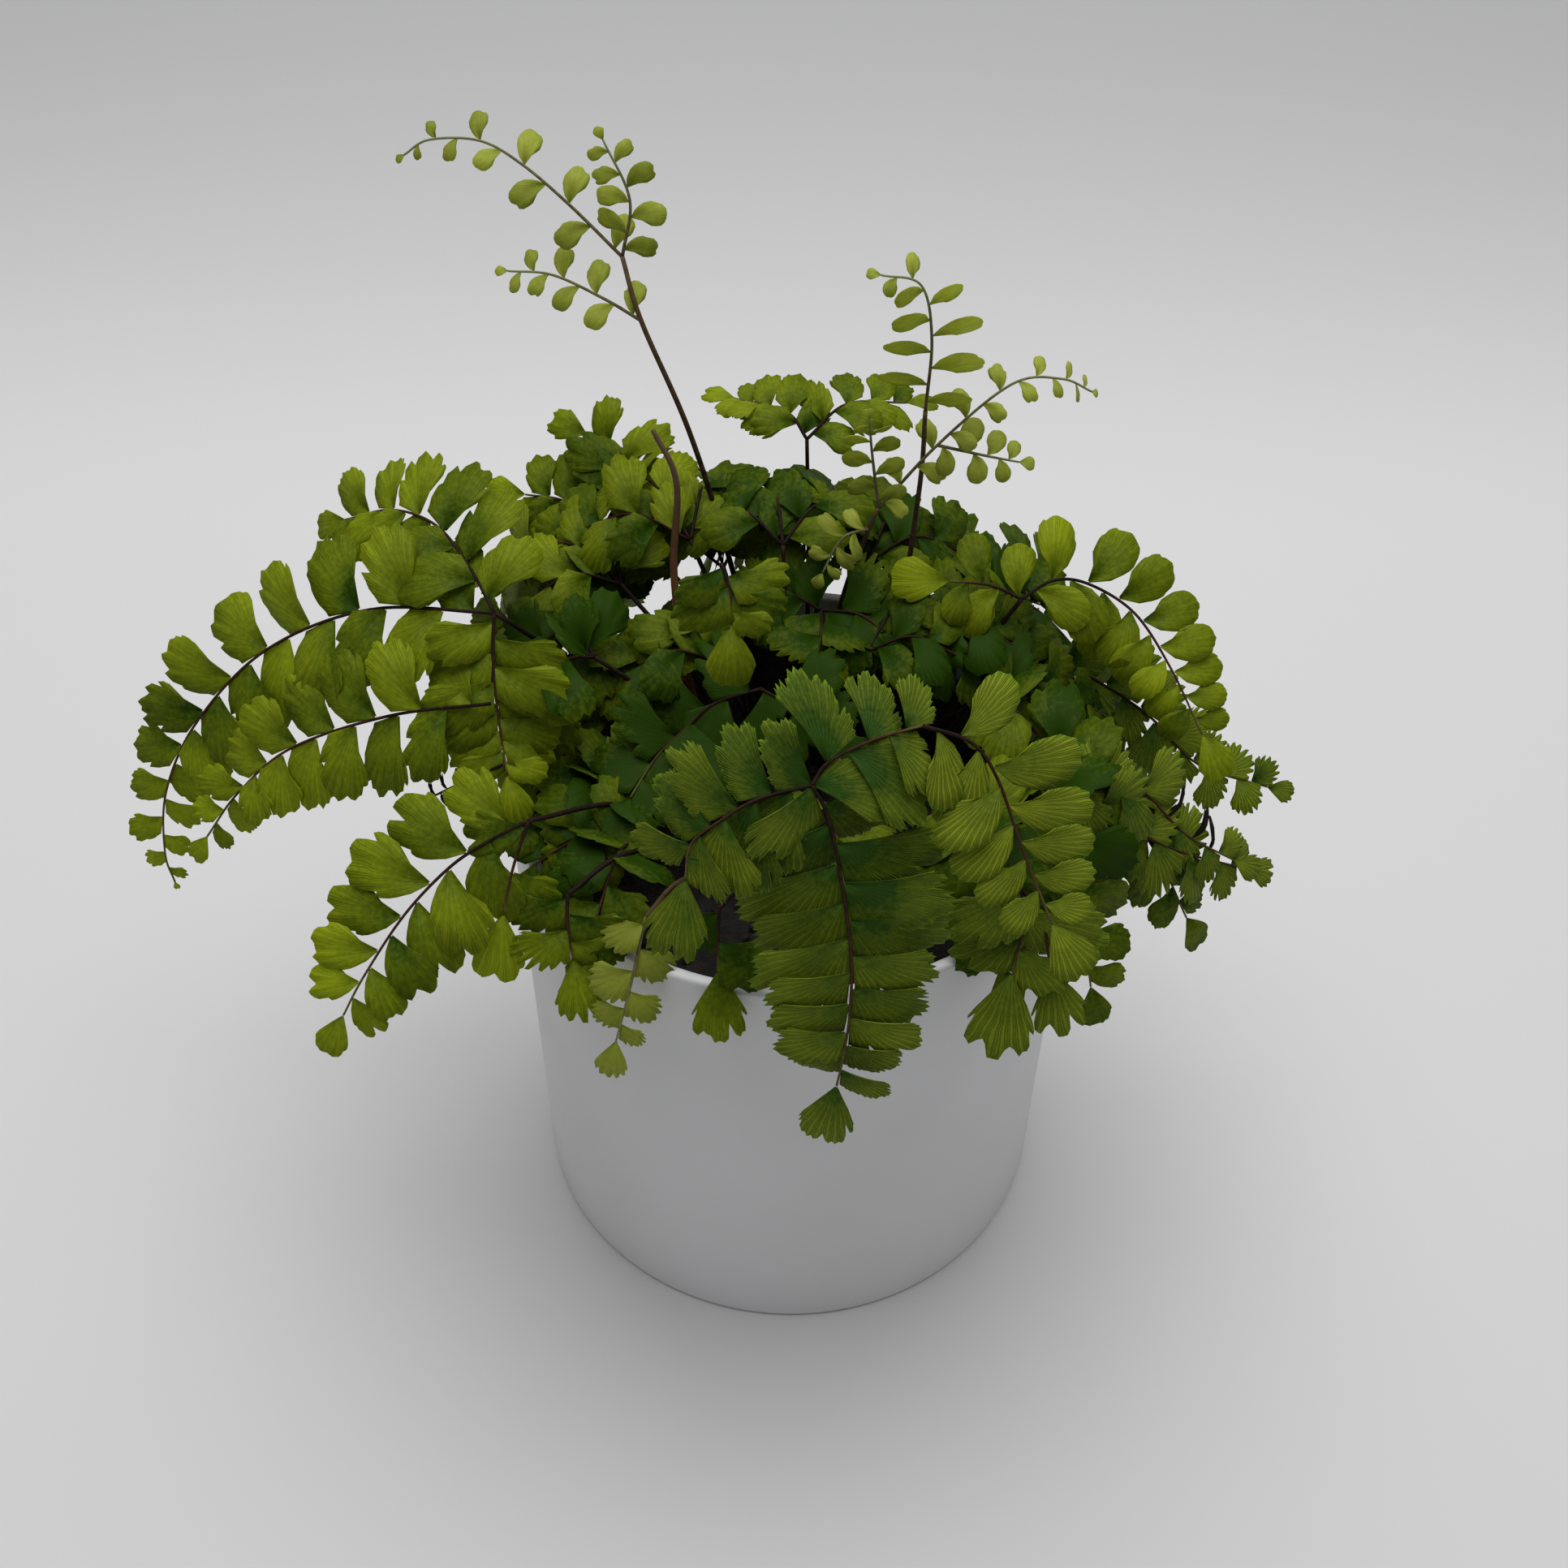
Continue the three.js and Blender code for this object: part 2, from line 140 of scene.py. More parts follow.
CLEFT = LeafletForm(CRENATE, rays=30, rings=4, lobe_depth=0.17, end_lobes=5, end_depth=0.20)


SHAPED_FACING = Vector((0.0, -0.65, 0.76)).freeze()
ARCHED_FACING = Vector((0.0, -0.35, 0.94)).freeze()
UPRIGHT_FACING = Vector((0.0, -0.1, 1.0)).freeze()


@dataclass(frozen=True)
class Pinna:
    """One side branch of a frond, in millimetres.

    pairs, leaflet and end say how many pairs of leaflets it has, how long they are, and how long
    the one at its tip is. tone makes it lighter or darker, partly as its own colour and
    partly as painted light and shade, turn tips its leaflets back (degrees), taper is how much
    shorter they get towards the tip, and withered lists those that are dead.
    """

    route: tuple[Point, ...]
    pairs: int
    leaflet: float
    end: float
    form: LeafletForm | None = None
    tone: float = 0.0
    turn: float = 0.0
    taper: float = 0.55
    withered: tuple[int, ...] = ()


@dataclass(frozen=True)
class FrondPlan:
    """One frond: where its stalk leaves the soil and runs, and the pinnae on it.

    form stands in for the usual leaflet of its age, tone makes the whole frond lighter or
    darker, partly as its own colour and partly as painted shade where it lies deep in the crown and
    painted light where light comes from behind it, and facing is the side towards which its
    leaflets turn their upper faces.
    """

    name: str
    age: Age
    stalk: tuple[tuple[float, ...], ...]
    pinnae: tuple[Pinna, ...]
    form: LeafletForm | None = None
    tone: float = 0.0
    facing: Vector = SHAPED_FACING


SOIL_TOP = 118.0
SHAPED = (
    FrondPlan("front", Age.MATURE, ((0, -12), (1, -34, 152), (3, -61, 186)), (
        Pinna(((3, -61, 186), (6, -64, 181), (9, -71, 170), (11, -79, 159), (11, -85, 149),
               (10, -89, 141), (9, -91, 135)), 9, 20, 14, tone=0.3, taper=0.6),
        Pinna(((3, -61, 186), (6, -58, 189), (14, -55, 192), (23, -53, 194)), 3, 18, 0),
        Pinna(((23, -53, 194), (32, -54, 191), (37, -58, 186), (42, -66, 176), (48, -75, 165)),
              6, 16, 12, LIME, 2.2),
        Pinna(((3, -61, 186), (-7, -63, 184), (-14, -66, 181), (-19, -68, 177), (-20, -72, 172)),
              5, 16, 16),
    ), tone=-0.2),
    FrondPlan("tall_left", Age.YOUNG, ((-4, 20), (-17, 38, 163), (-25, 42, 192), (-35, 49, 215),
                                       (-39, 56, 226)), (
        Pinna(((-39, 56, 226), (-50, 61, 235), (-60, 65, 242), (-69, 69, 245), (-80, 71, 244),
               (-86, 72, 240)), 5, 8.5, 2.5, taper=0.75),
        Pinna(((-39, 56, 226), (-37, 58, 238), (-42, 60, 250)), 4, 8, 3),
        Pinna(((-35, 49, 215), (-43, 51, 219), (-54, 55, 222), (-64, 58, 221)), 4, 8, 3),
    )),
    FrondPlan("tall_right", Age.YOUNG, ((16, 16), (23, 28, 153), (26, 35, 184), (26, 35, 203)), (
        Pinna(((26, 35, 203), (26, 32, 222), (23, 31, 235), (15, 33, 236)), 5, 11, 3, SMOOTH,
              tone=0.8, turn=25, taper=0.75),
    )),
    FrondPlan("young_right", Age.YOUNG, ((4, 14), (9, 25, 155), (15, 29, 176), (17, 30, 181)), (
        Pinna(((17, 30, 181), (29, 34, 195), (44, 38, 208), (55, 42, 207), (63, 48, 200)),
              7, 6.5, 2.5, tone=0.6),
        Pinna(((17, 30, 181), (15, 32, 194), (14, 30, 204)), 4, 7, 3, SMOOTH, turn=20),
        Pinna(((29, 34, 195), (39, 32, 194), (47, 34, 191)), 3, 7, 4, SMOOTH, turn=20),
        Pinna(((15, 29, 176), (9, 24, 177), (5, 22, 169)), 3, 7, 4),
    )),
    FrondPlan("left", Age.MID, ((-14, 2), (-40, 10, 142), (-64, -1, 175)), (
        Pinna(((-64, -1, 175), (-91, 3, 172), (-115, 2, 161), (-132, -4, 145), (-141, -10, 129),
               (-143, -16, 115), (-142, -18, 107)), 11, 18, 2, taper=0.85),
        Pinna(((-64, -1, 175), (-70, 8, 180), (-78, 18, 183), (-89, 26, 181), (-101, 30, 175)),
              6, 17, 9),
        Pinna(((-64, -1, 175), (-64, -8, 168), (-63, -15, 159), (-61, -23, 149)), 6, 16, 11),
        Pinna(((-64, -16, 163), (-86, -15, 158), (-108, -16, 149), (-121, -19, 138),
               (-129, -23, 128)), 8, 16, 7, taper=0.75),
        Pinna(((-62, -22, 151), (-70, -23, 147), (-79, -24, 142)), 3, 4, 0, WITHERED, taper=0.2,
              withered=tuple(range(6))),
    ), tone=0.4),
    FrondPlan("right", Age.MID, ((24, 6), (39, 16, 148), (49, 18, 166)), (
        Pinna(((49, 18, 166), (56, 21, 169), (64, 21, 168), (74, 16, 164), (82, 7, 156),
               (89, -3, 146)), 8, 14, 11),
        Pinna(((49, 18, 166), (42, 20, 168), (33, 20, 169)), 2, 13, 13),
    ), OVAL, 0.5),
    FrondPlan("low_left", Age.MID, ((-12, -8), (-36, -24, 142), (-54, -41, 154)), (
        Pinna(((-54, -41, 154), (-62, -44, 151), (-70, -48, 147), (-79, -55, 140),
               (-87, -64, 131), (-91, -69, 125)), 6, 18, 9, taper=0.6),
        Pinna(((-54, -41, 154), (-57, -48, 147), (-59, -53, 139)), 1, 14, 15),
    ), WEDGE, 0.4),
    FrondPlan("centre", Age.MID, ((-6, -4), (-12, 2, 152), (-16, -2, 190)), (
        Pinna(((-16, -2, 190), (-14, -6, 186), (-14, -10, 181)), 3, 13, 13, BROAD, -0.6),
    )),
    FrondPlan("right_low", Age.MATURE, ((22, -2), (40, 15, 142), (52, 20, 149)), (
        Pinna(((52, 20, 149), (64, 17, 146), (80, 13, 137), (93, 8, 126), (110, 7, 120)),
              7, 13, 7),
    ), TOOTHED, 0.3),
    FrondPlan("front_right", Age.MATURE, ((16, -8), (40, -22, 142), (56, -26, 149)), (
        Pinna(((56, -26, 149), (68, -25, 141), (83, -24, 131), (101, -19, 120)), 5, 13, 9,
              withered=(7,)),
        Pinna(((56, -26, 149), (72, -20, 146), (85, -21, 133), (97, -21, 125)), 5, 12, 8,
              withered=(4, 5, 7)),
    ), TOOTHED, 0.5),
    FrondPlan("rim_right", Age.MATURE, ((10, -16), (34, -38, 144), (45, -53, 151)), (
        Pinna(((45, -53, 151), (46, -58, 144), (44, -64, 137)), 2, 17, 18),
        Pinna(((45, -53, 151), (50, -57, 144), (52, -62, 136)), 1, 15, 15),
    ), CLEFT, 0.5),
    FrondPlan("rim_torn", Age.YOUNG, ((-6, -20), (-22, -44, 141), (-30, -53, 139)), (
        Pinna(((-30, -53, 139), (-33, -63, 128), (-36, -68, 117)), 3, 9, 9, TOOTHED, -0.5),
    )),
    FrondPlan("rim_left", Age.MID, ((-14, -14), (-34, -38, 142), (-46, -50, 142)), (
        Pinna(((-46, -50, 142), (-46, -54, 137), (-45, -58, 131)), 2, 14, 14),
    ), TOOTHED, -0.3),
    FrondPlan("rim_middle", Age.MID, ((-2, -22), (-10, -44, 140), (-15, -54, 143)), (
        Pinna(((-15, -54, 143), (-15, -58, 138), (-15, -62, 133)), 1, 13, 15),
    ), CLEFT, -0.4),
    # inner, inner_left and inner_back lie under the outer fronds: their low tone is painted shade.
    FrondPlan("inner", Age.MID, ((-8, 6), (-8, 4, 142), (-8, -1, 155)), (
        Pinna(((-8, -1, 155), (-18, -5, 154), (-24, -11, 152), (-30, -17, 149), (-35, -25, 145)),
              4, 18, 15),
        Pinna(((-8, -1, 155), (-2, -6, 155), (6, -10, 150)), 2, 15, 14),
    ), CLEFT, -2.0),
    FrondPlan("inner_left", Age.MID, ((-20, 22), (-31, 24, 142), (-36, 20, 156)), (
        Pinna(((-36, 20, 156), (-44, 14, 158), (-52, 6, 155), (-57, -3, 149)), 4, 15, 12),
        Pinna(((-36, 20, 156), (-34, 12, 157), (-34, 3, 153)), 3, 14, 13),
    ), tone=-0.5),
    FrondPlan("inner_back", Age.MID, ((2, 12), (4, 18, 144), (5, 20, 160)), (
        Pinna(((5, 20, 160), (-3, 22, 163), (-12, 20, 162)), 3, 14, 12),
        Pinna(((5, 20, 160), (14, 16, 162), (22, 10, 158)), 3, 14, 12),
        Pinna(((5, 20, 160), (5, 12, 160), (4, 5, 156)), 2, 13, 13),
    ), TOOTHED, -1.0),
    FrondPlan("back", Age.MID, ((2, 26), (2, 50, 150), (1, 57, 180)), (
        Pinna(((1, 57, 180), (-4, 62, 184), (-16, 67, 184)), 4, 11, 8),
        Pinna(((1, 57, 180), (10, 64, 185), (24, 68, 183)), 4, 11, 8),
    ), facing=UPRIGHT_FACING),
    FrondPlan("back_left", Age.MID, ((-8, 26), (-26, 42, 146), (-45, 45, 164)), (
        Pinna(((-45, 45, 164), (-41, 50, 171), (-42, 56, 176), (-50, 60, 178)), 4, 15, 10),
        Pinna(((-45, 45, 164), (-55, 48, 168), (-64, 50, 168)), 3, 14, 10),
    )),
)


@dataclass(frozen=True)
class ArchedPlan:
    """A frond that arches outwards evenly, with its pinnae fanned out of the fork.

    bearing is in degrees from +X towards +Y; fork and tip are (reach from the axis, height).
    """

    name: str
    bearing: float
    base: float
    fork: tuple[float, float]
    tip: tuple[float, float]
    pinnae: int
    leaflet: float
    # arched fronds are darker by default, partly their own darker green and partly painted shade
    # inside and behind the crown; the back-left ones are less dark as painted light from behind.
    tone: float = -1.0

    SPREAD = {2: 60, 3: 48}
    ARCH = (0.35, 0.72, 1.0)

    def shaped(self) -> FrondPlan:
        """Works out the stalk and the fan of pinnae.

        Returns:
            The same frond as a plan with routes.
        """
        outwards = math.radians(self.bearing)
        reach, height = self.fork

        def place(angle: float, far: float, z: float, start: Point = (0, 0, 0)) -> Point:
            """Gives the point at a bearing and distance from a start, at height z."""
            return (start[0] + far * math.cos(angle), start[1] + far * math.sin(angle), z)

        fork = place(outwards, reach, height)
        stalk = (place(outwards, self.base, 0)[:2],
                 place(outwards, 0.6 * reach, SOIL_TOP + 0.62 * (height - SOIL_TOP)), fork)
        spread = math.radians(self.SPREAD[self.pinnae])
        fall = self.tip[1] - height
        fan = []
        for i in range(self.pinnae):
            off = i - (self.pinnae - 1) / 2
            angle = outwards + off * spread
            length = (self.tip[0] - reach) * (1 - 0.12 * abs(off))
            rise = 0.16 * length
            drops = (rise, 0.4 * (rise + fall), fall)
            route = (fork, *(place(angle, share * length, height + drop, fork)
                             for share, drop in zip(self.ARCH, drops)))
            pairs = max(3, round(length / (0.55 * self.leaflet)))
            fan.append(Pinna(route, pairs, self.leaflet, 0.7 * self.leaflet))
        return FrondPlan(self.name, Age.MID, stalk, tuple(fan), None, self.tone, ARCHED_FACING)


ARCHED = (
    ArchedPlan("side_left", 178, 12, (44, 161), (70, 146), 3, 13),
    ArchedPlan("side_left_low", 203, 14, (40, 140), (66, 136), 3, 14),
    ArchedPlan("back_left_upper", 150, 14, (46, 164), (82, 154), 3, 14, -0.2),
    ArchedPlan("back_left_high", 128, 12, (40, 170), (84, 158), 3, 13, -0.1),
    ArchedPlan("back_left_low", 112, 20, (48, 152), (94, 130), 3, 13, -0.2),
    ArchedPlan("back_middle_high", 98, 12, (28, 172), (62, 164), 3, 13),
    ArchedPlan("back_middle_low", 84, 18, (50, 150), (98, 126), 3, 13),
    ArchedPlan("back_right_high", 66, 14, (38, 162), (74, 152), 3, 13),
    ArchedPlan("back_right_low", 41, 28, (50, 148), (94, 124), 3, 13),
    ArchedPlan("back_right_inner", 34, 12, (34, 156), (68, 148), 3, 13),
    ArchedPlan("side_right", 8, 14, (40, 146), (72, 138), 3, 13),
    ArchedPlan("rim_right_low", -17, 16, (52, 142), (92, 112), 3, 14),
    ArchedPlan("front_right_low", -40, 14, (44, 142), (74, 128), 2, 14),
    ArchedPlan("front_inner", -70, 10, (30, 146), (56, 140), 2, 13),
    ArchedPlan("front_left_low", 222, 16, (46, 138), (72, 132), 2, 14),
    ArchedPlan("heart_left", 160, 6, (20, 156), (46, 150), 2, 13),
    ArchedPlan("heart_right", 30, 6, (18, 158), (46, 152), 2, 13),
    ArchedPlan("rear_drape_left", 142, 22, (58, 144), (101, 112), 3, 13),
    ArchedPlan("rear_drape_right", 62, 24, (60, 140), (100, 108), 3, 13),
)
CROZIER_ROUTE = ((-18, 12), (-25, 18, 140), (-28, 24, 166), (-27, 28, 188), (-32, 33, 198))


# ---- routes -------------------------------------------------------------------------------------
def curve(a: Place, b: Place, c: Place, d: Place, t: float) -> Place:
    """Follows the smooth curve that runs from b to c.

    Args:
        a: the place before it.
        b: its start.
        c: its end.
        d: the place after it.
        t: how far along it, 0 to 1.

    Returns:
        The place on it.
    """
    return 0.5 * (2 * b + (c - a) * t + (2 * a - 5 * b + 4 * c - d) * t * t
                  + (3 * b - a - 3 * c + d) * t ** 3)


class Route:
    """A smooth line through a few points, measured along its length, in metres."""

    STEPS = 10

    def __init__(self, points: Iterable[Sequence[float]]) -> None:
        """Samples the line.

        Args:
            points: points in millimetres; the first may be (x, y), just above the soil.
        """
        knots = [Vector((*p, SOIL_TOP) if len(p) == 2 else p) * MM for p in points]
        ends = [2 * knots[0] - knots[1], *knots, 2 * knots[-1] - knots[-2]]
        self.points = [knots[0]]
        for around in zip(ends, ends[1:], ends[2:], ends[3:]):
            self.points += [curve(*around, i / self.STEPS) for i in range(1, self.STEPS + 1)]
        self.marks = [0.0]
        for a, b in zip(self.points, self.points[1:]):
            self.marks.append(self.marks[-1] + (b - a).length)

    @property
    def length(self) -> float:
        """Length of the line in metres."""
        return self.marks[-1]

    def at(self, distance: float) -> tuple[Vector, Vector]:
        """Gives the place and the direction at a distance along the line.

        Args:
            distance: metres from its start.

        Returns:
            The point and the unit tangent there.
        """
        distance = min(max(distance, 0.0), self.length)
        i = next((k for k, m in enumerate(self.marks[1:]) if m >= distance), len(self.marks) - 2)
        a, b = self.points[i], self.points[i + 1]
        t = (distance - self.marks[i]) / (self.marks[i + 1] - self.marks[i])
        return a.lerp(b, t), (b - a).normalized()


# ---- meshes -------------------------------------------------------------------------------------
def add_piece(name: str, bm: bmesh.types.BMesh, material: bpy.types.Material, slot: str,
              *nodes: str) -> bpy.types.Object:
    """Turns a finished bmesh into a piece that rides on the plant.

    Args:
        name: the piece's name.
        bm: its mesh, which is freed.
        material: its finish.
        slot: the record's material slot; not used.
        nodes: CAD nodes that it stands for.

    Returns:
        The new object.
    """
    mesh = bpy.data.meshes.new(name)
    bm.to_mesh(mesh)
    bm.free()
    mesh.shade_smooth()
    piece = bpy.data.objects.new(name, mesh)
    bpy.context.scene.collection.objects.link(piece)
    mesh.materials.append(material)
    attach(piece, "root")
    if nodes:
        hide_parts(*nodes)
    return piece


def spun(profile: Iterable[tuple[float, float]], steps: int) -> bmesh.types.BMesh:
    """Spins a section about the pot's axis.

    Args:
        profile: its points, as (distance from the axis, height).
        steps: number of steps in the full turn.

    Returns:
        The new mesh, with its seam and poles closed.
    """
    bm = bmesh.new()
    verts = [bm.verts.new((x, 0.0, z)) for x, z in profile]
    edges = [bm.edges.new(pair) for pair in zip(verts, verts[1:])]
    bmesh.ops.spin(bm, geom=verts + edges, cent=(0, 0, 0), axis=(0, 0, 1), angle=math.tau,
                   steps=steps, use_merge=True)
    bmesh.ops.remove_doubles(bm, verts=bm.verts, dist=1e-6)
    return bm


def add_tube(bm: bmesh.types.BMesh, points: Sequence[Vector], radii: Sequence[float],
             ages: Sequence[float], sides: int = 6) -> None:
    """Adds a closed round stem along a line of points.

    Args:
        bm: the mesh it joins.
        points: its middle line.
        radii: its radius at each point.
        ages: how green it is at each point, from 0 to 1, kept in an attribute.
        sides: number of sides.
    """
    layer = bm.verts.layers.float.get(AGEING) or bm.verts.layers.float.new(AGEING)
    tangents = [(b - a).normalized() for a, b in zip(points, points[1:])]
    tangents = [tangents[0]] + [(a + b).normalized() for a, b in zip(tangents, tangents[1:])]
    tangents.append((points[-1] - points[-2]).normalized())
    turn = tangents[0].to_track_quat("Z", "Y")
    frames = []
    for i, (point, radius) in enumerate(zip(points, radii)):
        if i:
            turn = tangents[i - 1].rotation_difference(tangents[i]) @ turn
        frames.append(Matrix.LocRotScale(point, turn, Vector((radius,) * 3)))
    ring = bmesh.ops.create_circle(bm, cap_ends=True, radius=1.0, segments=sides,
                                   matrix=frames[0])["verts"]
    edges = list(dict.fromkeys(e for v in ring for e in v.link_edges))
    for vert in ring:
        vert[layer] = ages[0]
    for before, after, age in zip(frames, frames[1:], ages[1:]):
        grown = bmesh.ops.extrude_edge_only(bm, edges=edges)["geom"]
        ring = [g for g in grown if isinstance(g, bmesh.types.BMVert)]
        edges = [g for g in grown if isinstance(g, bmesh.types.BMEdge)]
        bmesh.ops.transform(bm, matrix=after @ before.inverted(), verts=ring)
        for vert in ring:
            vert[layer] = age
    bmesh.ops.contextual_create(bm, geom=edges)


class LeafletBed:
    """Collects the leaflets of one frond in one mesh."""

    SMOOTH_ENDS = 0.08
    HUB = 0.03
    LOBE_SHARPNESS = 0.6
    DEPTH_VARIES = (0.7, 1.3)
    TOOTH_VARIES = (0.3, 1.7)

    def __init__(self, seed: int) -> None:
        """Starts an empty mesh with a UV map and a tint for every leaflet.

        Args:
            seed: where its random numbers start.
        """
        self.bm = bmesh.new()
        self.uv = self.bm.loops.layers.uv.new(LEAF_UV)
        self.tint = self.bm.verts.layers.float.new(TINT)
        self.rng = random.Random(seed)
        self.count = 0

    @staticmethod
    def margin(outline: Outline, share: float) -> tuple[float, float]:
        """Follows an outline smoothly.

        Args:
            outline: its points.
            share: 0 at its first point to 1 at its last.

        Returns:
            The place on it.
        """
        last = len(outline) - 1
        i = min(int(share * last), last - 1)
        around = (outline[min(max(k, 0), last)] for k in (i - 1, i, i + 1, i + 2))
        return tuple(curve(*places, share * last - i) for places in zip(*around))

    def add(self, form: LeafletForm, base: Vector, out: Vector, over: Vector, up: Vector,
            length: float, tint: float, wide: float = 1.0, end: bool = False) -> None:
        """Adds one leaflet as a curved fan of faces.

        Args:
            form: its outline and curl.
            base: the corner it hangs on.
            out: unit direction away from the midrib.
            over: unit direction towards the pinna's tip.
            up: unit direction of its upper face.
            length: metres.
            tint: -1 to 1, darker to lighter than the others.
            wide: stretches it towards the pinna's tip.
            end: True for the wedge at a pinna's end.
        """
        depth_share = self.rng.uniform(*self.DEPTH_VARIES)
        ripple = self.rng.uniform(0, math.tau)
        outline = form.end_outline if end else form.outline
        lobes, depth = ((form.end_lobes, form.end_depth) if end
                        else (form.lobes, form.lobe_depth))
        lean = Matrix.Rotation(math.radians(form.lean), 2)
        nicks = [self.rng.uniform(*self.TOOTH_VARIES) for _ in range(form.rays + 1)]
        grid = bmesh.ops.create_grid(self.bm, x_segments=form.rays, y_segments=form.rings,
                                     size=1.0)["verts"]
        places = {}
        for vert in grid:
            share, ring = (vert.co.x + 1) / 2, (vert.co.y + 1) / 2
            places[vert] = (ring, share)
            fade = min(1.0, share / self.SMOOTH_ENDS) * min(1.0, (1 - share) / self.SMOOTH_ENDS)
            notch = 1 - abs(math.sin(math.pi * lobes * share)) ** self.LOBE_SHARPNESS
            ray = round(share * form.rays)
            cut = 1 - depth * depth_share * nicks[ray] * notch * fade
            if ray % 2:
                cut -= form.tooth_depth * nicks[ray] * fade
            grown = self.HUB + (1 - self.HUB) * ring
            u, v = lean @ Vector(self.margin(outline, share))
            u, v = u * grown * (1 + (cut - 1) * ring), v * grown * wide * (1 + (cut - 1) * ring)
            if end:
                lift = form.rise * u - form.droop * (u * u + 0.5 * v * v)
            else:
                v += form.hollow * math.sin(math.pi * ring) * (1 - share) ** 4
                lift = (form.rise * u - form.droop * u * u - form.tuck * v
                        + form.wave * math.sin(3 * math.pi * share + ripple) * grown ** 2)
            vert.co = base + length * (u * out + v * over + lift * up)
            vert[self.tint] = tint
        faces = {face for vert in grid for face in vert.link_faces}
        for face in faces:
            for loop in face.loops:
                loop[self.uv].uv = places[loop.vert]
        if out.cross(over).dot(up) < 0:
            bmesh.ops.reverse_faces(self.bm, faces=list(faces))
        self.count += 1


